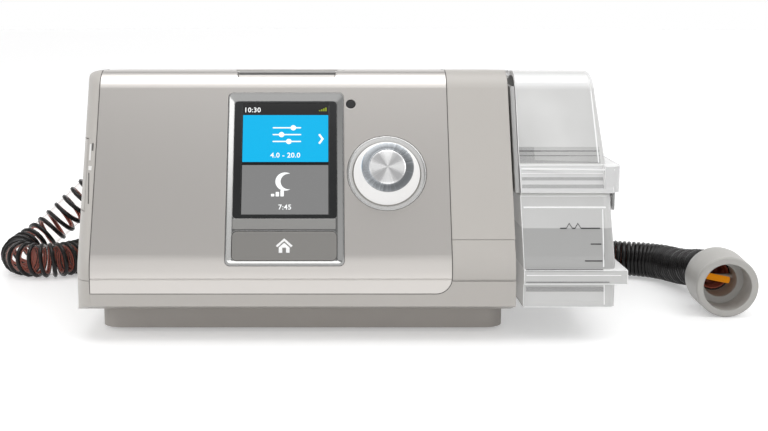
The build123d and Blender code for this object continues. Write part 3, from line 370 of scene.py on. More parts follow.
def upright(x_top, z_top, x_low, z_low, width, steps=16):
    """Outline of a narrow line that runs down a curved front."""
    shares = [i / steps for i in range(steps + 1)]
    line = [(x_top + (x_low - x_top) * share, z_top + (z_low - z_top) * share) for share in shares]
    return [(x - width / 2, z) for x, z in line] + [(x + width / 2, z) for x, z in reversed(line)]


def block_along_x(name, outline, x0, x1, outwards=True):
    """Solid block between two x; outline is (y, z) points in millimetres, in order."""
    points = [(x0, y, z) for y, z in outline]
    return settle(outline_plate(name, points, (x1 - x0, 0, 0), outwards))


# ---------------------------------------------------------------- materials
WHITE = (1, 1, 1, 1)
PRINT_ROUND = 0.0001    # rounding of the thinnest pieces, in metres


class Tree:
    """A node tree, with short calls that add and join its nodes."""

    def __init__(self, tree):
        self.tree = tree
        self.tree.nodes.clear()

    def add(self, kind, inputs=None, **settings):
        node = self.tree.nodes.new("ShaderNode" + kind)
        for key, value in settings.items():
            setattr(node, key, value)
        for key, value in (inputs or {}).items():
            if isinstance(value, bpy.types.NodeSocket):
                self.tree.links.new(value, node.inputs[key])
            else:
                node.inputs[key].default_value = value
        return node

    def math(self, operation, first, second=None):
        inputs = {0: first} if second is None else {0: first, 1: second}
        return self.add("Math", inputs, operation=operation).outputs[0]

    def ramp(self, value, low, high, from_low=0.0, from_high=1.0):
        return self.add("MapRange", {"Value": value, "From Min": from_low, "From Max": from_high,
                                     "To Min": low, "To Max": high}).outputs["Result"]

    def layered(self, share, below, above):
        """One shader shown over another, by a share from 0 to 1."""
        return self.add("MixShader", {0: share, 1: below, 2: above}).outputs[0]


class Nodes(Tree):
    """A material's node tree."""

    def __init__(self, name):
        self.material = bpy.data.materials.new(name)
        self.material.use_nodes = True
        super().__init__(self.material.node_tree)
        self.output = self.add("OutputMaterial")
        self.place = self.add("TexCoord").outputs["Object"]

    def noise(self, scale, detail, stretch=(1, 1, 1)):
        spread = self.add("Mapping", {"Vector": self.place, "Scale": stretch}).outputs[0]
        return self.add("TexNoise", {"Vector": spread, "Scale": scale, "Detail": detail}).outputs["Fac"]

    def blend(self, share, first, second):
        """A colour between two, by a share from 0 to 1."""
        return self.add("Mix", {"Factor": share, "A": first, "B": second}, data_type="RGBA").outputs["Result"]

    def tinted(self, colour, value, spread):
        """The colour, lighter and darker by spread where a 0 to 1 value goes up and down."""
        dark = (*(c * (1 - spread) for c in colour), 1)
        light = (*(min(c * (1 + spread), 1) for c in colour), 1)
        return self.blend(value, dark, light)

    def bump(self, height, strength, distance, under=None):
        inputs = {"Height": height, "Strength": strength, "Distance": distance}
        if under is not None:
            inputs["Normal"] = under
        return self.add("Bump", inputs).outputs["Normal"]

    def rounded(self, radius):
        return self.add("Bevel", {"Radius": radius}, samples=4).outputs["Normal"]

    def principled(self, inputs):
        return self.add("BsdfPrincipled", inputs).outputs[0]

    def see_through(self, colour):
        return self.add("BsdfTransparent", {"Color": (*colour, 1)}).outputs[0]

    def surface(self, shader):
        self.tree.links.new(shader, self.output.inputs["Surface"])
        return self.material


def moulded(name, colour, roughness, grain, mottle, metallic=0.0, coat=0.0, rounding=None, specular=0.5):
    """Moulded or painted plastic: soft colour drift, a fine grain and edges that look rounded."""
    nodes = Nodes(name)
    drift = nodes.noise(14, 3)
    fine = nodes.noise(2600, 2)
    wear = nodes.noise(90, 4)
    edge = nodes.rounded(sizes().edge_round if rounding is None else rounding)
    return nodes.surface(nodes.principled({
        "Base Color": nodes.tinted(colour, drift, mottle),
        "Roughness": nodes.ramp(wear, roughness * 0.86, roughness * 1.14, 0.3, 0.7),
        "Metallic": metallic,
        "Specular IOR Level": specular,
        "Coat Weight": coat,
        "Coat Roughness": 0.12,
        "Normal": nodes.bump(fine, grain, 0.0002, edge),
    }))


def silver_paint(name, colour, roughness, metallic, flake=0.004):
    """Silver lacquer: the finest of metal flake under a thin clear coat, even over a hand's width."""
    nodes = Nodes(name)
    drift = nodes.noise(9, 2)
    flakes = nodes.noise(5200, 1)
    edge = nodes.rounded(sizes().edge_round)
    return nodes.surface(nodes.principled({
        "Base Color": nodes.tinted(colour, drift, 0.012),
        "Roughness": nodes.ramp(flakes, roughness * 0.97, roughness * 1.03),
        "Metallic": metallic,
        "Coat Weight": 0.12,
        "Coat Roughness": 0.2,
        "Normal": nodes.bump(flakes, flake, 0.0001, edge),
    }))


def brushed(name, colour, stretch=(1, 40, 40), roughness=0.3):
    """Metal with fine brush lines along one direction."""
    nodes = Nodes(name)
    streaks = nodes.noise(60, 3, stretch)
    return nodes.surface(nodes.principled({
        "Base Color": nodes.tinted(colour, streaks, 0.08),
        "Roughness": nodes.ramp(streaks, roughness * 0.7, roughness * 1.3),
        "Metallic": 1.0,
        "Normal": nodes.bump(streaks, 0.08, 0.0002, nodes.rounded(sizes().edge_round / 2)),
    }))


def clear_plastic(name, colour, cover_low, cover_high, cloud, zones=(), glow=0.0):
    """Frosted clear plastic: a milky body that lets some light through, under a full gloss.

    Cloud is how much the milkiness drifts. Each zone is (low, high, blur, colour), heights in metres, where
    the body takes another colour: water behind it, a lighter band low on the lid, or a white band along the
    lid's top that is a painted highlight. Glow is emission on the wall that faces the casing, painted light
    that brightens that wall in its shade."""
    nodes = Nodes(name)
    waves = nodes.noise(19, 3)
    fine = nodes.noise(300, 2)
    normal = nodes.bump(nodes.noise(55, 2), 0.05, 0.0008, nodes.rounded(0.0007))
    facing = nodes.add("LayerWeight", {"Blend": 0.3, "Normal": normal}).outputs["Facing"]
    body_colour = nodes.tinted(colour, nodes.ramp(waves, 0, 1, 0.32, 0.68), cloud)
    height = nodes.add("SeparateXYZ", {0: nodes.place}).outputs["Z"]
    for low, high, blur, zone_colour in zones:
        above = nodes.ramp(height, 0, 1, low - blur, low + blur)
        below = nodes.ramp(height, 1, 0, high - blur, high + blur)
        body_colour = nodes.blend(nodes.math("MULTIPLY", above, below), body_colour, (*zone_colour, 1))
    side = nodes.add("SeparateXYZ", {0: nodes.add("TexCoord").outputs["Normal"]}).outputs["X"]
    milk = nodes.principled({
        "Base Color": body_colour,
        "Roughness": nodes.ramp(fine, 0.45, 0.55),
        "Specular IOR Level": 0.0,
        "Emission Color": WHITE,
        # painted glow: emission on the wall facing the casing (normals towards -x) brightens that wall in its
        # shade
        "Emission Strength": nodes.ramp(side, glow, 0.0, -0.95, -0.6) if glow else 0.0,
        "Normal": normal,
    })
    through = nodes.see_through([0.5 + 0.5 * c for c in colour])
    body = nodes.layered(nodes.ramp(facing, cover_low, cover_high, 0.05, 0.9), through, milk)
    shine = nodes.add("BsdfGlossy", {"Color": WHITE, "Roughness": nodes.ramp(fine, 0.08, 0.12),
                                     "Normal": normal}).outputs[0]
    gloss = nodes.add("Fresnel", {"IOR": 1.5, "Normal": normal}).outputs[0]
    return nodes.surface(nodes.layered(nodes.ramp(gloss, 0.02, 0.9), body, shine))


def lit(name, colour, strength, gloss=0.25):
    """A lit screen tile, or a ring or sensor whose glow is painted light, under gloss."""
    nodes = Nodes(name)
    grid = nodes.noise(1800, 1)
    return nodes.surface(nodes.principled({
        "Base Color": nodes.tinted([c * 0.35 for c in colour], grid, 0.03),
        "Roughness": nodes.ramp(grid, gloss * 0.9, gloss * 1.1),
        "Emission Color": (*colour, 1),
        "Emission Strength": strength,
        "Specular IOR Level": 0.3,
    }))


def tint_film(name, colour, cover):
    """A see-through grey band moulded in clear plastic."""
    nodes = Nodes(name)
    drift = nodes.noise(60, 2)
    skin = nodes.principled({"Base Color": nodes.tinted(colour, drift, 0.05), "Roughness": 0.3})
    share = nodes.ramp(drift, cover * 0.9, cover * 1.1)
    return nodes.surface(nodes.layered(share, nodes.see_through((1, 1, 1)), skin))


def hose_film():
    """Clear film, milky where it is seen edge on."""
    nodes = Nodes("Hose film")
    smoke = nodes.noise(240, 2)
    facing = nodes.add("LayerWeight", {"Blend": 0.35}).outputs["Facing"]
    skin = nodes.principled({
        "Base Color": nodes.tinted(tone(206, 196, 192), smoke, 0.1),
        "Roughness": nodes.ramp(smoke, 0.14, 0.26),
        "Coat Weight": 0.5,
    })
    cover = nodes.ramp(facing, 0.04, 0.5, 0.3, 1.0)
    return nodes.surface(nodes.layered(cover, nodes.see_through((0.97, 0.955, 0.95)), skin))


def water():
    """Still water, a little more solid where it is seen edge on."""
    nodes = Nodes("Water")
    still = nodes.noise(30, 2)
    facing = nodes.add("LayerWeight", {"Blend": 0.3}).outputs["Facing"]
    skin = nodes.principled({
        "Base Color": nodes.tinted(colours().water, still, 0.02),
        "Roughness": nodes.ramp(still, 0.05, 0.1),
        "Specular IOR Level": 0.5,
    })
    cover = nodes.ramp(facing, 0.42, 0.8)
    return nodes.surface(nodes.layered(cover, nodes.see_through((0.86, 0.87, 0.88)), skin))


def spun_metal(name, colour, fans, start, contrast, spread, metallic):
    """Lathe-turned metal: streaks that fan out from the middle, and the finest of rings, with a painted
    reflection of bright and dark streaks round the middle set into its colour.

    Fans is how many bright streaks of painted reflection go round the middle, and start is the first one's
    angle in degrees."""
    nodes = Nodes(name)
    centred = nodes.add("VectorMath", {0: nodes.place, 1: on_face(DIAL_X, DIAL_UP)}, operation="SUBTRACT")
    flat = nodes.add("VectorRotate", {"Vector": centred.outputs[0], "Angle": LEAN - math.radians(90)},
                     rotation_type="X_AXIS").outputs[0]
    split = nodes.add("SeparateXYZ", {0: flat}).outputs
    angle = nodes.math("ARCTAN2", split["Y"], split["X"])
    radius = nodes.add("VectorMath", {0: flat}, operation="LENGTH").outputs["Value"]
    fan = nodes.add("CombineXYZ", {"X": angle}).outputs[0]
    streaks = nodes.add("TexNoise", {"Vector": fan, "Scale": 9.0, "Detail": 5.0, "Roughness": 0.65})
    phase = nodes.math("MULTIPLY", nodes.math("SUBTRACT", angle, math.radians(start)), float(fans))
    # painted reflection: bright and dark streaks by angle round the middle, set into the colour
    painted_rays = nodes.ramp(nodes.math("COSINE", phase), -contrast, contrast, -1, 1)
    rings = nodes.math("SINE", nodes.math("MULTIPLY", radius, 26000.0))
    shade = nodes.ramp(nodes.math("ADD", streaks.outputs["Fac"], painted_rays), 0.0, 1.0, 0.28, 0.72)
    return nodes.surface(nodes.principled({
        "Base Color": nodes.tinted(colour, shade, spread),
        "Metallic": metallic,
        "Roughness": nodes.ramp(shade, 0.30, 0.22),
        "Normal": nodes.bump(rings, 0.03, 0.00005),
    }))


FINISHES = {}


def finish(name):
    """Each finish is made once, from the colours in the panel."""
    if name not in FINISHES:
        FINISHES[name] = FINISH_MAKERS[name]()
    return FINISHES[name]


FINISH_MAKERS = {
    "casing": lambda: moulded("Casing plastic", colours().casing, 0.36, 0.04, 0.015),
    "base": lambda: moulded("Base plastic", colours().base, 0.6, 0.12, 0.03),
    "fascia": lambda: silver_paint("Fascia silver", colours().fascia, 0.28, 0.82),
    "surround": lambda: silver_paint("Surround silver", colours().surround, 0.16, 1.0, 0.001),
    "dial_groove": lambda: silver_paint("Groove silver", tone(176, 174, 170), 0.2, 0.9),
    "dial_trim": lambda: silver_paint("Trim silver", tone(204, 204, 203), 0.2, 0.85),
    "home_key": lambda: silver_paint("Button silver", tone(146, 144, 141), 0.32, 0.6),
    # the skirt glows white, painted light: it is silver, not a lamp
    "dial_skirt": lambda: lit("Dial skirt with painted glow", tone(254, 253, 252), 0.58, 0.16),
    "steel": lambda: brushed("Steel", tone(190, 190, 190)),
    "heater": lambda: brushed("Heater metal", tone(150, 150, 150), (1, 12, 1), 0.4),
    "black": lambda: moulded("Black plastic", tone(28, 28, 29), 0.4, 0.1, 0.1),
    "gloss_black": lambda: moulded("Gloss black", tone(10, 9, 10), 0.08, 0.01, 0.05, coat=0.6),
    "window_frame": lambda: moulded("Window frame", tone(40, 41, 42), 0.2, 0.02, 0.05, 0.4, 0.5),
    "bay": lambda: moulded("Bay plastic", tone(150, 149, 147), 0.45, 0.06, 0.03),
    "field": lambda: silver_paint("Field silver", tone(160, 159, 157), 0.3, 0.6),
    "board": lambda: moulded("Circuit board", tone(26, 92, 60), 0.35, 0.3, 0.2),
    "duct": lambda: moulded("Duct plastic", tone(214, 212, 208), 0.5, 0.08, 0.03),
    "seal": lambda: moulded("Seal silicone", tone(206, 206, 204), 0.55, 0.05, 0.02),
    "foot": lambda: moulded("Foot rubber", tone(38, 38, 38), 0.8, 0.25, 0.15),
    "foam": lambda: moulded("Filter fibre", tone(232, 230, 224), 0.95, 0.8, 0.1),
    "cuff": lambda: moulded("Cuff rubber", colours().cuff, 0.42, 0.05, 0.02, rounding=0.0008),
    # the orange sensor glows, painted light: it is plain plastic, not a lamp
    "sensor": lambda: lit("Orange sensor with painted glow", tone(255, 158, 24), 0.4, 0.3),
    # the tub's wall next to the casing takes 0.24 of painted glow; its zone is the water behind it
    "tub": lambda: clear_plastic("Clear tub", colours().clear, 0.74, 0.97, 0.04, [
        (0.0325, sizes().water_level, 0.00015, colours().water)], 0.24),
    # first zone: a white band along the lid's top, a painted highlight; second zone: a lighter band lower on
    # the lid
    "lid": lambda: clear_plastic("Clear lid", tone(228, 228, 227), 0.8, 0.97, 0.12, [
        (0.1085, 0.1143, 0.001, tone(250, 250, 250)), (0.062, 0.0753, 0.0001, tone(238, 238, 238))]),
    "inner_cover": lambda: clear_plastic("Frosted cover", colours().clear, 0.6, 0.95, 0.1),
    "clip": lambda: clear_plastic("Clear clip", tone(172, 172, 172), 0.7, 0.97, 0.1),
    "lens": lambda: moulded("Sensor lens", tone(24, 24, 25), 0.12, 0.02, 0.2, coat=0.8),
    "tile_blue": lambda: lit("Blue tile", colours().tile_blue, 0.66),
    "tile_grey": lambda: lit("Grey tile", colours().tile_grey, 0.7),
    "icon": lambda: lit("White icon", tone(250, 252, 252), 0.8),
    "icon_green": lambda: lit("Signal bars", tone(150, 165, 40), 0.6),
    "white_print": lambda: moulded("White print", tone(250, 250, 250), 0.5, 0.02, 0.01),
    # black print on the tub's marks, and painted shadow along the start button
    "black_print_and_painted_shadow": lambda: moulded("Black print and painted shadow", tone(34, 34, 35), 0.5, 0.05, 0.1, rounding=PRINT_ROUND),
    "seam": lambda: moulded("Seam shadow", tone(92, 90, 88), 0.6, 0.05, 0.05, rounding=PRINT_ROUND),
    # pale strips: painted highlights on the side cover's steps and the card door
    "painted_highlight_strip": lambda: moulded("Painted highlight strip", tone(236, 235, 233), 0.3, 0.02, 0.02, rounding=PRINT_ROUND),
    # white under a coat: painted highlights along the clear plastic's edges, rims and corners
    "painted_edge_highlight": lambda: moulded("Painted edge highlight", tone(250, 250, 250), 0.15, 0.02, 0.01, coat=0.5,
                                  rounding=PRINT_ROUND),
    "smoke": lambda: tint_film("Smoke band", tone(146, 146, 146), 0.17),
    "dark_smoke": lambda: tint_film("Dark band", tone(96, 96, 97), 0.36),
    "rib": lambda: moulded("Hose rib", colours().rib, 0.24, 0.0, 0.2, rounding=PRINT_ROUND, specular=0.3),
    "wire": lambda: moulded("Hose wire", colours().wire, 0.35, 0.05, 0.3, 0.4, 0.3, PRINT_ROUND),
    "hose_film": hose_film,
    "water": water,
    # cap ring: one painted highlight, lighter to the upper left and darker to the lower right
    "cap_metal": lambda: spun_metal("Cap metal with painted highlight", tone(168, 172, 176), 1, 140, 0.3, 0.5, 0.9),
    # spun disc: four bright streaks of painted reflection in a bow-tie
    "disc_metal": lambda: spun_metal("Spun metal with painted reflection", tone(232, 232, 233), 4, 90, 0.3, 0.4, 0.6),
}

NODE_FINISH = {
    "casing": ("upper_case", "lower_case", "rear_panel", "left_side_cover", "sd_card_cover", "label_plate",
               "air_filter_cover"),
    "base": ("base_pan",),
    "fascia": ("fascia", "power_button"),
    "surround": ("display_surround",),
    "window_frame": ("display_frame",),
    "gloss_black": ("display_window",),
    "home_key": ("home_button",),
    "dial_groove": ("dial_well",),
    "dial_skirt": ("dial_skirt",),
    "steel": ("case_screws", "dial_shaft", "blower_shaft", "blower_motor", "tub_steel_plate", "lid_hinge_pin",
              "sd_socket", "dial_disc", "dial_cap"),
    "heater": ("heater_plate",),
    "black": ("lcd_module", "home_switch", "power_switch", "dial_rotor", "dial_encoder", "sd_card",
              "blower_base", "blower_cover", "air_outlet", "power_inlet", "filter_housing"),
    "bay": ("bay_liner",),
    "board": ("switch_board", "control_board", "side_board"),
    "duct": ("inlet_duct", "outlet_duct", "blower_impeller"),
    "seal": ("bay_seals", "tub_seal", "blower_mounts"),
    "foot": ("rubber_feet",),
    "foam": ("air_filter",),
    "lens": ("light_sensor",),
    "tub": ("tub_base", "lid_catch"),
    "lid": ("tub_lid",),
    "inner_cover": ("tub_inner_cover",),
    "cuff": ("mask_cuff", "hose_elbow"),
    "sensor": ("hose_sensor",),
}


class MACHINE_OT_finishes(bpy.types.Operator):
    """Gives every solid of the machine its finish"""
    bl_idname = "machine.finishes"
    bl_label = "Finish Solids"

    def execute(self, context):
        for name, nodes in NODE_FINISH.items():
            for node in nodes:
                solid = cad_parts[node]
                for slot in solid.material_slots:
                    slot.material = finish(name)
        return {"FINISHED"}


# ---------------------------------------------------------------- hose
HOSE_START = [
    (-40, 86, 74), (-66, 86, 74), (-97, 91, 71.5), (-125, 97, 57), (-147, 98, 37.5), (-164.5, 96, 20.5),
    (-176, 87, 12), (-181.2, 72, 9.5), (-173.4, 57, 9.5), (-156.5, 54, 9.5), (-144.5, 65.5, 9.5),
    (-137, 83.5, 9.5), (-116, 102, 9.5), (-82, 112, 9.5), (-52, 115, 9.5),
]
HOSE_END = [
    (-22, 113, 41), (3, 101, 35), (35, 94, 20.5), (67, 94, 10.5), (95, 95, 9.5), (118, 85.5, 9.5),
    (134, 70.5, 9.5), (147.5, 61.5, 9.5), (160, 58, 9.5), (170.5, 51, 9.5), (175, 40, 9.8), (177, 28, 11.4),
    (179.6, 16.5, 14.0), (180.525, 5.5, 15.41), (180, -5, 15.2),
]
HOSE_D = 19.0
COIL_CENTRE, COIL_R = Vector((-2, 215)), 102.5
COIL_FROM, COIL_TO, COIL_STEP = -15, 675, 30     # degrees round the coil
RISE_FROM, RISE_TO = 240, 325                    # where a turn climbs onto the one below it


def coil_height(turn):
    """Height of the coil's centreline: on the table, then up onto itself, then over its own rise."""
    first, second = (min(max((turn - full - RISE_FROM) / (RISE_TO - RISE_FROM), 0), 1) for full in (0, 360))
    return HOSE_D * (0.5 + first + second)


def coil_points():
    points = []
    for turn in range(COIL_FROM, COIL_TO + 1, COIL_STEP):
        angle = math.radians(turn)
        points.append((
            COIL_CENTRE.x + COIL_R * math.sin(angle),
            COIL_CENTRE.y - COIL_R * math.cos(angle),
            coil_height(turn),
        ))
    return points


def hose_curve(name, bevel):
    """One smooth line through the whole hose."""
    curve = bpy.data.curves.new(name, "CURVE")
    curve.dimensions = "3D"
    spline = curve.splines.new("NURBS")
    points = HOSE_START + coil_points() + HOSE_END
    spline.points.add(len(points) - 1)
    for target, point in zip(spline.points, points):
        target.co = (*(value * MM for value in point), 1)
    spline.order_u = 3
    spline.use_endpoint_u = True
    spline.resolution_u = 16
    curve.bevel_depth = bevel
    curve.bevel_resolution = 6
    return placed(name, curve)


def centreline():
    """Points along the hose, with the distance along it of each."""
    bare = hose_curve("hose_line", 0.0)
    bpy.context.view_layer.update()
    mesh = bpy.data.meshes.new_from_object(bare.evaluated_get(bpy.context.evaluated_depsgraph_get()))
    points = [vert.co.copy() for vert in mesh.vertices]
    bpy.data.meshes.remove(mesh)
    bpy.data.objects.remove(bare)
    along = [0.0]
    for before, after in zip(points, points[1:]):
        along.append(along[-1] + (after - before).length)
    return points, along


# how far apart the ribs lie, as (distance from the machine, spacing), both in millimetres
RIB_SPACING = [
    (0, 5.0), (60, 6.4), (150, 6.4), (200, 4.6), (238, 2.9), (282, 2.3), (308, 3.2), (335, 4.6), (400, 4.6),
    (1600, 4.6), (1690, 2.7), (1740, 2.5), (2100, 2.3),
]


def spacing(distance):
    """Rib spacing at a distance along the hose, in metres."""
    distance /= MM
    for (from_at, from_gap), (to_at, to_gap) in zip(RIB_SPACING, RIB_SPACING[1:]):
        if distance <= to_at:
            share = (distance - from_at) / (to_at - from_at)
            return (from_gap + share * (to_gap - from_gap)) * MM
    return RIB_SPACING[-1][1] * MM


def winding(points, along, radius, shift, steps):
    """Points of a helix round the hose; shift moves it along the hose, in metres."""
    side = Vector((0, 0, 1))
    total = along[-1]
    distance, angle, index = 0.0, 0.0, 0
    result = []
    while distance < total:
        while index < len(points) - 2 and along[index + 1] < distance:
            index += 1
        ahead = (points[index + 1] - points[index]).normalized()
        share = (distance - along[index]) / max(along[index + 1] - along[index], 1e-9)
        centre = points[index].lerp(points[index + 1], share)
        before = (points[index] - points[index - 1]).normalized() if index else ahead
        after = points[min(index + 2, len(points) - 1)] - points[index + 1]
        after = after.normalized() if after.length > 1e-9 else ahead
        smooth = before.lerp(ahead, 0.5).lerp(ahead.lerp(after, 0.5), share).normalized()
        side = (side - smooth * side.dot(smooth)).normalized()
        across = smooth.cross(side)
        outwards = side * math.cos(angle) + across * math.sin(angle)
        result.append(centre + smooth * shift + outwards * radius)
        distance += spacing(distance) / steps
        angle += 2 * math.pi / steps
    return result


def wound_piece(name, routes, thickness, resolution):
    """Round wire along each list of points, as a mesh."""
    curve = bpy.data.curves.new(name, "CURVE")
    curve.dimensions = "3D"
    curve.bevel_depth, curve.bevel_resolution = thickness, resolution
    curve.use_fill_caps = True
    for route in routes:
        spline = curve.splines.new("POLY")
        spline.points.add(len(route) - 1)
        for target, point in zip(spline.points, route):
            target.co = (*point, 1)
    only(placed(name, curve))
    bpy.ops.object.convert(target="MESH")
    piece = added(name)
    bpy.ops.object.shade_smooth()
    return piece


class MACHINE_OT_hose(bpy.types.Operator):
    """Adds the heated hose: clear film, wound ribs and copper wires, ending in the grey cuff"""
    bl_idname = "machine.hose"
    bl_label = "Heated Hose"

    def execute(self, context):
        size = sizes()
        points, along = centreline()
        film = hose_curve("hose_film", size.film_radius)
        film.data.materials.append(finish("hose_film"))
        rib_line = winding(points, along, size.film_radius, 0, size.rib_steps)
        inner, apart = size.film_radius - size.rib_radius, 0.6 * MM
        wire_lines = [winding(points, along, inner, shift, size.rib_steps) for shift in (apart, -apart)]
        ribs = wound_piece("hose_ribs", [rib_line], size.rib_radius, 1)
        wires = wound_piece("hose_wires", wire_lines, size.wire_radius, 0)
        finish_piece(ribs, "rib", "machine")
        finish_piece(wires, "wire", "machine")
        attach(film, "machine")
        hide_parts("hose_run_a", "hose_coil", "hose_run_b")
        return {"FINISHED"}


# ---------------------------------------------------------------- turned pieces
TURNED_STEPS = 96


def turned(name, profile, closed=True):
    """Solid of revolution about Z; profile is (radius, height) in millimetres, its lower centre first."""
    deselect()
    radius, height = profile[0]
    bpy.ops.mesh.primitive_circle_add(vertices=TURNED_STEPS, radius=radius * MM, fill_type="NOTHING",
                                      location=(0, 0, height * MM))
    piece = settle(added(name))
    edit(piece)
    select_all()
    for (radius0, height0), (radius1, height1) in zip(profile, profile[1:]):
        bpy.ops.mesh.extrude_edges_move(TRANSFORM_OT_translate={"value": (0, 0, (height1 - height0) * MM)})
        shrink = radius1 / radius0
        bpy.ops.transform.resize(value=(shrink, shrink, 1), center_override=(0, 0, height1 * MM))
    select_all()
    if closed:
        bpy.ops.mesh.remove_doubles(threshold=MERGE)
        bpy.ops.mesh.fill_holes(sides=0)
    turn_outwards()
    leave_edit()
    only(piece)
    bpy.ops.object.shade_smooth_by_angle(angle=math.radians(TURNED_ANGLE))
    return piece


# ---------------------------------------------------------------- screen
SCREEN_OUT = -1.05                                      # how far the glass stands out of the leaning face
ICON_OUT, ICON_THICK = SCREEN_OUT + 0.06, 0.05
TILE_X = (-47.6, -9.2)
BLUE_UP, GREY_UP = (48.9, 71.5), (24.2, 47.4)
TILE_MID = sum(TILE_X) / 2
NUMBER_HEIGHT, NUMBER_THICK = 2.3, 0.02
HEIGHT_TO_SIZE = 1.42                                   # from a digit's height to its font size


def number_plate(name, text, x, up, out, align="CENTER"):
    """Plain numbers on the screen."""
    deselect()
    bpy.ops.object.text_add(location=(0, 0, 0))
    words = bpy.context.object
    words.data.body = text
    words.data.size, words.data.extrude = NUMBER_HEIGHT * MM * HEIGHT_TO_SIZE, NUMBER_THICK * MM
    words.data.align_x, words.data.align_y = align, "CENTER"
    words.data.resolution_u = 3
    words.data.space_character = 1.06
    words.data.offset = 0.04 * MM
    only(words)
    bpy.ops.object.convert(target="MESH")
    return put_on_face(added(name), x, up, out)


def slider_icon(x, up):
    """Three sliders, one above the other."""
    half_bar, half_line, knob_radius, apart, knob_steps = 6.4, 0.28, 1.25, 3.3, 24
    parts = []
    for row, knob in enumerate((2.9, -2.4, 0.9)):
        level = up + apart - row * apart
        parts.append(face_plate("slider", x - half_bar, x + half_bar, level - half_line, level + half_line,
                                ICON_OUT, ICON_THICK, 0.26))
        angles = [step * math.pi / (knob_steps / 2) for step in range(knob_steps)]
        ring = [(x + knob + knob_radius * math.cos(a), level + knob_radius * math.sin(a)) for a in angles]
        parts.append(face_outline("knob", ring, ICON_OUT, 0.07))
    return join(parts, "options_icon")


def arrow_icon(x, up):
    """Arrow head that points to the right."""
    half, thick, tip, notch = 2.0, 0.75, 1.25, 1.15
    back, slant = x - tip, thick * 0.6
    points = [(back, up + half), (back + thick, up + half + slant), (x + tip, up),
              (back + thick, up - half - slant), (back, up - half), (x + tip - notch, up)]
    return face_outline("arrow_icon", list(reversed(points)), ICON_OUT, ICON_THICK)


def moon_icon(x, up):
    """Slim crescent moon over a row of low bars."""
    outer, inner, shift, lift = 4.3, 3.7, 1.7, 1.6
    meet = (outer ** 2 - inner ** 2 + shift ** 2) / (2 * shift)
    rim_end, hollow_end = math.acos(meet / outer), math.acos((meet - shift) / inner)
    full, steps = 2 * math.pi, 20
    rim = [rim_end + (full - 2 * rim_end) * i / steps for i in range(steps + 1)]
    hollow = [(full - hollow_end) - (full - 2 * hollow_end) * i / steps for i in range(1, steps)]
    outline = [(x + outer * math.cos(a), up + lift + outer * math.sin(a)) for a in rim]
    outline += [(x + shift + inner * math.cos(a), up + lift + inner * math.sin(a)) for a in hollow]
    parts = [face_outline("moon", outline, ICON_OUT, ICON_THICK)]
    for i in range(3):
        left, top = x - 6.2 + i * 2.1, up - 4.2 + 0.9 * i
        parts.append(face_plate("bar", left, left + 1.5, up - 5.4, top, ICON_OUT, ICON_THICK, 0.3))
    return join(parts, "night_icon")


class MACHINE_OT_screen(bpy.types.Operator):
    """Adds the lit picture on the screen: two tiles, plain icons and plain numbers"""
    bl_idname = "machine.screen"
    bl_label = "Screen Picture"

    def execute(self, context):
        tiles = (("blue_tile", BLUE_UP, "tile_blue"), ("grey_tile", GREY_UP, "tile_grey"))
        for name, (low, high), look in tiles:
            tile = face_plate(name, *TILE_X, low, high, SCREEN_OUT - 0.02, 0.06, 0.25)
            finish_piece(tile, look, "machine")
        pictures = [
            slider_icon(TILE_MID + 0.6, 62.0),
            arrow_icon(-12.4, 59.9),
            moon_icon(TILE_MID, 38.0),
            number_plate("upper_numbers", "4.0 - 20.0", TILE_MID, 52.0, SCREEN_OUT + 0.08),
            number_plate("lower_numbers", "7:45", TILE_MID, 27.5, SCREEN_OUT + 0.08),
            number_plate("clock_numbers", "10:30", -47.3, 73.9, SCREEN_OUT + 0.03, "LEFT"),
        ]
        for picture in pictures:
            finish_piece(picture, "icon", "machine")
        steps = []
        for i in range(4):
            shift = i * 0.95
            steps.append(face_plate("step", -13.4 + shift, -12.75 + shift, 73.4, 73.9 + i * 0.42, SCREEN_OUT,
                                    0.04, 0.05))
        finish_piece(join(steps, "signal_steps"), "icon_green", "machine")
        return {"FINISHED"}


def button_out(node):
    """How far a node's flat front stands out of the leaning face, in millimetres."""
    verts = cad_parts[node].data.vertices
    return max((vert.co - on_face(0, 0)).dot(FACE_NORMAL) for vert in verts) / MM


def field_out(x, up):
    """How far the screen surround stands out of the leaning face at a point on it, in millimetres."""
    met, place, *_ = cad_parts["display_surround"].ray_cast(on_face(x, up, 30), -FACE_NORMAL)
    if not met:
        raise RuntimeError(f"no screen surround at {x}, {up}")
    return (place - on_face(0, 0)).dot(FACE_NORMAL) / MM


class MACHINE_OT_home_sign(bpy.types.Operator):
    """Adds the plain house sign on the wide button, and the field between it and the screen"""
    bl_idname = "machine.home_sign"
    bl_label = "House Sign"

    def execute(self, context):
        x, low = -28.5, 6.6
        roof = [(x - 3.7, low + 3.2), (x, low + 6.6), (x + 3.7, low + 3.2), (x + 3.0, low + 2.5),
                (x, low + 5.3), (x - 3.0, low + 2.5)]
        walls = [(x - 2.4, low), (x - 0.8, low), (x - 0.8, low + 2.3), (x + 0.8, low + 2.3), (x + 0.8, low),
                 (x + 2.4, low), (x + 2.4, low + 2.4), (x, low + 4.6), (x - 2.4, low + 2.4)]
        out = button_out("home_button")
        sign = join([face_outline("roof", list(reversed(roof)), out, ICON_THICK),
                     face_outline("walls", walls, out, ICON_THICK)], "house_sign")
        finish_piece(sign, "white_print", "home_key")
        field_back = field_out(x, 19.8) - PLATE_GAP
        field = face_plate("screen_field", -51.4, -6.0, 17.4, 22.3, field_back, 0.06, 0.4)
        finish_piece(field, "field", "machine")
        return {"FINISHED"}


# ---------------------------------------------------------------- dial
DIAL_X, DIAL_UP = 16.8, 43.3


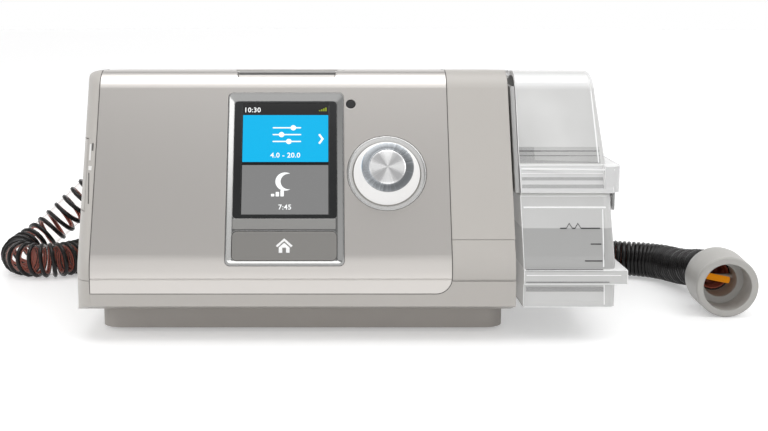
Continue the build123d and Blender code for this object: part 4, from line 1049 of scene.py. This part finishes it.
class MACHINE_OT_dial(bpy.types.Operator):
    """Adds the dial's skirt, which glows as painted light, its dished metal ring and spun disc with painted
    reflection streaks, and the trim round them
    """
    bl_idname = "machine.dial"
    bl_label = "Dial"

    def execute(self, context):
        # the skirt takes the glowing finish: painted light that makes the silver look bright, not a lamp
        skirt = turned("dial_skirt_painted_glow", [
            (0.5, -0.98), (14.4, -0.98), (14.75, -0.8), (14.75, 0.1), (14.2, 1.6), (12.6, 5.2), (11.9, 6.6),
            (11.6, 6.9), (0.5, 6.95),
        ])
        ring = turned("dial_metal_ring", [
            (0.5, 7.0), (11.2, 7.0), (11.48, 7.12), (11.48, 7.9), (11.3, 8.14), (11.0, 8.22), (8.7, 8.28),
            (8.35, 8.24), (8.2, 8.1), (8.2, 7.45), (0.5, 7.45),
        ])
        trim = turned("dial_trim_ring", [
            (15.1, -2.5), (15.1, -1.2), (15.35, -0.75), (16.0, -0.25), (16.8, 0.05), (17.3, 0.08),
            (17.55, -0.05), (17.3, -0.6), (16.0, -2.5),
        ], closed=False)
        put_on_face(trim, DIAL_X, DIAL_UP)
        finish_piece(trim, "dial_trim", "machine")
        disc = turned("dial_spun_disc", [
            (0.3, 7.4), (8.1, 7.4), (8.1, 7.85), (7.8, 8.05), (7.2, 8.1), (3.0, 8.12), (0.3, 8.12),
        ])
        for piece, look, nodes, slot in (
            (skirt, "dial_skirt", ("dial_skirt",), "dial_silver"),
            (ring, "cap_metal", ("dial_cap",), "spun_metal"),
            (disc, "disc_metal", ("dial_disc",), "spun_metal"),
        ):
            put_on_face(piece, DIAL_X, DIAL_UP)
            finish_piece(piece, look, "dial")
            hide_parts(*nodes)
        return {"FINISHED"}


# ---------------------------------------------------------------- seams of the casing and the start button
def looks_out(normal):
    return normal.y < -0.4 or normal.z > 0.4


def at_side(normal):
    return abs(normal.x) > 0.3 and normal.y > -0.3 or normal.z < -0.9


class MACHINE_OT_seams(bpy.types.Operator):
    """Adds the fine lines round the front skin, the start button and the card door"""
    bl_idname = "machine.seams"
    bl_label = "Seams"

    def execute(self, context):
        def rim(middle, normals):
            outside = middle.x < -112.4 or middle.x > 36.5 or middle.z < 23
            return outside and any(map(looks_out, normals)) and any(map(at_side, normals))

        finish_piece(edge_bead("fascia_seam", "fascia", rim, 0.2), "seam", "machine")
        skins, button, side = ("fascia", "power_button"), ("power_button",), ("left_side_cover",)
        start_left = [(-54.4, 115.8), (-53.4, 115.8), (-50.0, 114.9), (-50.6, 114.1)]
        start_right = [(-5.4, 114.1), (-6.0, 114.9), (-2.6, 115.8), (-1.6, 115.8)]
        door_slit = band(-115.1, -114.3, 81.4, 84.6)
        door_gap = [(-116.1, 72.0), (-115.6, 72.0), (-114.9, 59.2), (-115.4, 59.2)]
        slit_light = band(-116.2, -115.3, 77.2, 84.2)
        bar_light = band(-116.2, -114.5, 73.1, 74.9)
        printed("start_button_seam", "seam", "machine", skins,
                [(start_left, 0.2), (start_right, 0.2)])
        # dark lines along the start button's front edge: painted shadow in the recess round the button
        printed("start_button_shadow_line", "black_print_and_painted_shadow", "start_key", button,
                [(band(-50.0, -6.0, 114.15, 114.7), 0.16)])
        printed("start_button_back_shadow_line", "black_print_and_painted_shadow", "start_key", button,
                [(band(-50.0, -6.0, 115.0, 115.25), 0.1)])
        printed("door_seam", "seam", "machine", side, [(door_slit, 0.12), (door_gap, 0.12)])
        # pale strips beside the slit and along the bar: painted highlights on the steps of the side cover
        printed("door_lights", "painted_highlight_strip", "machine", side,
                [(slit_light, 0.12), (bar_light, 0.25)])
        # the same painted highlight along the bar, carried on across the card door
        printed("door_bar_highlight", "painted_highlight_strip", "card_door", ("sd_card_cover",),
                [(band(-120.2, -116.9, 73.1, 74.9), 0.25)])
        return {"FINISHED"}


# ---------------------------------------------------------------- tub
TUB_BANDS = (
    ("lid_shade", "smoke", "tub_lid", "lid", [
        band(76.4, 112.4, 76.0, 82.8), band(76.8, 113.0, 68.9, 70.2), band(76.8, 113.0, 65.6, 67.1)]),
    ("lid_lines", "dark_smoke", "tub_lid", "lid", [
        band(76.4, 112.4, 80.9, 81.3), band(76.4, 112.4, 79.0, 79.2)]),
    # white strips along the lid's ledge and down its rounded right corner: painted highlights
    ("lid_painted_highlights", "painted_edge_highlight", "tub_lid", "lid", [
        band(76.8, 117.6, 73.4, 74.1), upright(110.4, 112.0, 111.7, 76.2, 0.6),
        band(76.8, 113.0, 71.6, 71.9)]),
    # white strips along the tub's rim, down its right corner and across its foot: painted highlights
    ("base_painted_highlights", "painted_edge_highlight", "tub_base", "tub", [
        band(77.0, 113.4, 57.2, 57.9), upright(111.9, 56.8, 110.6, 33.2, 0.5),
        upright(111.0, 25.4, 111.4, 16.6, 0.5, 4), band(76.8, 118.0, 29.7, 30.1)]),
    ("base_lines", "dark_smoke", "tub_base", "tub", [
        band(76.8, 110.4, 31.7, 32.4), band(76.8, 113.0, 26.7, 27.1)]),
    ("foot_shade", "smoke", "tub_base", "tub", [band(77.0, 111.0, 22.4, 24.6)]),
)


class MACHINE_OT_tub_bands(bpy.types.Operator):
    """Adds painted highlights along the edges of the clear tub and its lid, bands of painted highlight, grey
    bands and darker lines on them, and the lid's clip
    """
    bl_idname = "machine.tub_bands"
    bl_label = "Tub Bands"

    def execute(self, context):
        def outside(middle, normals):
            return middle.x > 75.8

        for node, body in (("tub_base", "tub"), ("tub_lid", "lid")):
            # white beads along the outer edges of the tub and lid: painted highlights where rounded clear
            # edges catch light
            bead = edge_bead(f"{node}_edges", node, outside, 0.16, 50)
            finish_piece(bead, "painted_edge_highlight", body)
        for name, look, node, body, outlines in TUB_BANDS:
            plates = [(outline, 0.14) for outline in outlines]
            printed(name, look, body, (node,), plates)
        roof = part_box("lid_catch")[1][2] / MM
        back, front, foot = -52, -44, 55.0
        strip = [(back, foot), (back, roof), (front, roof), (front, foot)]
        step = [(back, foot), (back, 56.2), (front, 58.6), (front, 57.4)]
        # the clip's faces stay as they are extruded, which is inwards
        hook = [block_along_x("clip_strip", strip, 118.0, 119.3, outwards=False),
                block_along_x("clip_foot", step, 117.0, 118.0, outwards=False)]
        finish_piece(soften(join(hook, "lid_clip"), 0.2 * MM, 2), "clip", "lid")
        return {"FINISHED"}


def tub_strip(name, points, half_height):
    """Thin strip printed on the tub's front, along (x, z) points in millimetres."""
    outline = [(x, z + half_height) for x, z in points] + [(x, z - half_height) for x, z in reversed(points)]
    places = [(x, tub_front_y(z) - PLATE_GAP, z) for x, z in outline]
    return settle(outline_plate(name, places, (0, -0.12, 0)))


class MACHINE_OT_tub_marks(bpy.types.Operator):
    """Adds the level line and two short marks printed on the tub"""
    bl_idname = "machine.tub_marks"
    bl_label = "Tub Marks"

    def execute(self, context):
        half = sizes().mark_thickness / MM / 2
        level = sizes().water_level / MM
        peak, right = level + 2.0, 110.2
        wave = [(92.6, level), (95.4, level), (96.7, peak), (98.0, level), (99.2, level), (100.5, peak),
                (101.8, level), (right, level)]
        marks = join([
            tub_strip("level_line", wave, half),
            tub_strip("upper_mark", [(105.6, 42.6), (right, 42.6)], half),
            tub_strip("lower_mark", [(102.6, 35.8), (right, 35.8)], half),
        ], "tub_marks")
        finish_piece(marks, "black_print_and_painted_shadow", "tub")
        return {"FINISHED"}


class MACHINE_OT_water(bpy.types.Operator):
    """Adds the water in the tub, up to its level"""
    bl_idname = "machine.water"
    bl_label = "Water"

    def execute(self, context):
        level = sizes().water_level / MM
        floor_z, clear, wall, steps = 24.1, 0.15, 4.0, 10
        inner_front, inner_back, outer_back = -29.2, 42.2, 44.8
        left, middle, right = 15.2, 78.2, 114.2
        heights = [floor_z + (level - floor_z) * i / steps for i in range(steps + 1)]
        outer = [(tub_front_y(z, wall) + clear, z) for z in heights]
        outer += [(outer_back, level), (outer_back, floor_z)]
        inner = [(inner_front, floor_z), (inner_front, level), (inner_back, level), (inner_back, floor_z)]
        body = join([
            block_along_x("outer_water", outer, middle, right),
            block_along_x("inner_water", inner, left, middle),
        ], "tub_water")
        finish_piece(soften(body, 0.3 * MM, 1), "water", "tub")
        return {"FINISHED"}


# ---------------------------------------------------------------- stage
CAMERA_PLACE, CAMERA_DOWN = (-0.012, -0.605, 0.148), 9.8            # metres, degrees
SENSOR_WIDTH = 36.0
FRAME_PIXELS, FOCAL_PIXELS, SHIFT_PIXELS = 768, 1250, 62            # picture width, focal length, side shift
FLOOR_RADIUS, FLOOR_INSET, FLOOR_GLOW = 6.0, 4.5, 0.36
DIFFUSE_SKY = 0.55
AIM = (0, 0, 0.05)
LAMPS = (
    # name, place, what it points at, width and height, power, hidden from glossy surfaces
    ("top_soft", (0.0, -0.05, 1.5), (0, 0, 0), (1.6, 1.0), 9.0, False),
    ("left_soft", (-1.5, -0.9, 0.9), AIM, (0.9, 0.9), 7.0, True),
    ("right_soft", (1.08, -0.63, 1.55), AIM, (0.9, 0.9), 5.0, False),
    ("front_fill", (0.0, -2.2, 0.5), AIM, (1.6, 0.7), 5.0, True),
)
# brightness of the sky in reflections, as (share of the way from below to above, level)
SKY_STOPS = (
    (0.0, 1.0), (0.50, 1.05), (0.75, 1.02), (0.80, 0.88), (0.835, 0.44), (0.862, 0.12), (0.882, 0.26),
    (0.898, 0.95), (0.93, 1.1), (0.97, 1.25),
)


class MACHINE_OT_stage(bpy.types.Operator):
    """Adds the camera, the soft studio lamps and the pale floor"""
    bl_idname = "machine.stage"
    bl_label = "Camera, Lamps and Floor"

    def execute(self, context):
        self.camera(context)
        self.floor()
        self.lamps()
        self.sky(context)
        return {"FINISHED"}

    def camera(self, context):
        camera = placed("Camera", bpy.data.cameras.new("Camera"))
        camera.location = CAMERA_PLACE
        camera.rotation_euler = (math.radians(90 - CAMERA_DOWN), 0, 0)
        camera.data.sensor_width = SENSOR_WIDTH
        camera.data.lens = FOCAL_PIXELS / FRAME_PIXELS * SENSOR_WIDTH
        camera.data.shift_x = SHIFT_PIXELS / FRAME_PIXELS
        camera.data.clip_start = 0.01
        context.scene.camera = camera
        context.scene.view_settings.view_transform = "Standard"

    def floor(self):
        """Pale floor, which glows a little where it is seen and not where it lights other pieces."""
        deselect()
        bpy.ops.mesh.primitive_circle_add(vertices=64, radius=FLOOR_RADIUS, fill_type="NGON",
                                          location=(0, 0, 0))
        floor = added("floor")
        edit(floor)
        select_all()
        bpy.ops.mesh.inset(thickness=FLOOR_INSET)
        leave_edit()
        settle(floor)
        nodes = Nodes("Studio floor")
        cloud = nodes.noise(1.5, 2)
        ray = nodes.add("LightPath").outputs
        seen = nodes.math("MAXIMUM", ray["Is Camera Ray"], ray["Is Glossy Ray"])
        seen = nodes.math("MAXIMUM", seen, ray["Is Transmission Ray"])
        floor.data.materials.append(nodes.surface(nodes.principled({
            "Base Color": nodes.tinted((0.80, 0.80, 0.80), cloud, 0.01),
            "Roughness": 0.35,
            "Specular IOR Level": 0.35,
            "Emission Color": WHITE,
            "Emission Strength": nodes.math("MULTIPLY", seen, FLOOR_GLOW),
        })))

    def lamps(self):
        for name, place, aim, (width, height), power, hidden in LAMPS:
            data = bpy.data.lights.new(name, "AREA")
            data.shape, data.size, data.size_y, data.energy = "RECTANGLE", width, height, power
            lamp = placed(name, data)
            lamp.location = place
            lamp.rotation_euler = (Vector(aim) - Vector(place)).to_track_quat("-Z", "Y").to_euler()
            lamp.visible_glossy = not hidden

    def sky(self, context):
        """White where it is seen; in reflections bright low and high, and duller part of the way up."""
        world = bpy.data.worlds.new("Studio")
        world.use_nodes = True
        context.scene.world = world
        nodes = Tree(world.node_tree)
        way = nodes.add("SeparateXYZ", {0: nodes.add("TexCoord").outputs["Generated"]}).outputs
        bands = nodes.add("ValToRGB", {"Fac": nodes.ramp(way["Z"], 0.0, 1.0, -1.0, 1.0)})
        stops = bands.color_ramp.elements
        stops[0].position, stops[1].position = SKY_STOPS[0][0], SKY_STOPS[-1][0]
        for position, _ in SKY_STOPS[1:-1]:
            stops.new(position)
        for stop, (position, level) in zip(stops, SKY_STOPS):
            stop.position, stop.color = position, (level, level, level, 1)

        def light(colour, strength):
            return nodes.add("Background", {"Color": colour, "Strength": strength}).outputs[0]

        ray = nodes.add("LightPath").outputs
        mirrored = light(bands.outputs["Color"], nodes.ramp(way["X"], 0.85, 1.15, -0.8, 0.8))
        unseen = nodes.layered(ray["Is Glossy Ray"], light(WHITE, DIFFUSE_SKY), mirrored)
        seen = nodes.math("MAXIMUM", ray["Is Camera Ray"], ray["Is Transmission Ray"])
        nodes.add("OutputWorld", {"Surface": nodes.layered(seen, unseen, light(WHITE, 1.0))})


class MACHINE_PT_panel(bpy.types.Panel):
    """Lists the machine's pieces, sizes and colours"""
    bl_label = "Breathing Machine"
    bl_idname = "MACHINE_PT_panel"
    bl_space_type = "VIEW_3D"
    bl_region_type = "UI"
    bl_category = "Machine"

    def draw(self, context):
        layout = self.layout
        for operator in OPERATORS:
            layout.operator(operator.bl_idname)
        for group in (context.scene.machine_sizes, context.scene.machine_colours):
            column = layout.column()
            for name in group.__annotations__:
                column.prop(group, name)


OPERATORS = (
    MACHINE_OT_stage, MACHINE_OT_hose, MACHINE_OT_finishes, MACHINE_OT_screen, MACHINE_OT_home_sign,
    MACHINE_OT_dial, MACHINE_OT_tub_marks, MACHINE_OT_water, MACHINE_OT_seams, MACHINE_OT_tub_bands,
)
GROUPS = (MachineSizes, MachineColours)


def register():
    for group in GROUPS:
        bpy.utils.register_class(group)
    bpy.types.Scene.machine_sizes = PointerProperty(type=MachineSizes)
    bpy.types.Scene.machine_colours = PointerProperty(type=MachineColours)
    for operator in OPERATORS:
        bpy.utils.register_class(operator)
    bpy.utils.register_class(MACHINE_PT_panel)


def unregister():
    bpy.utils.unregister_class(MACHINE_PT_panel)
    for operator in reversed(OPERATORS):
        bpy.utils.unregister_class(operator)
    del bpy.types.Scene.machine_colours
    del bpy.types.Scene.machine_sizes
    for group in reversed(GROUPS):
        bpy.utils.unregister_class(group)


def main():
    register()
    bpy.ops.machine.stage()
    bpy.ops.machine.hose()
    bpy.ops.machine.finishes()
    bpy.ops.machine.screen()
    bpy.ops.machine.home_sign()
    bpy.ops.machine.dial()
    bpy.ops.machine.tub_marks()
    bpy.ops.machine.water()
    bpy.ops.machine.seams()
    bpy.ops.machine.tub_bands()


if __name__ == "__main__":
    main()
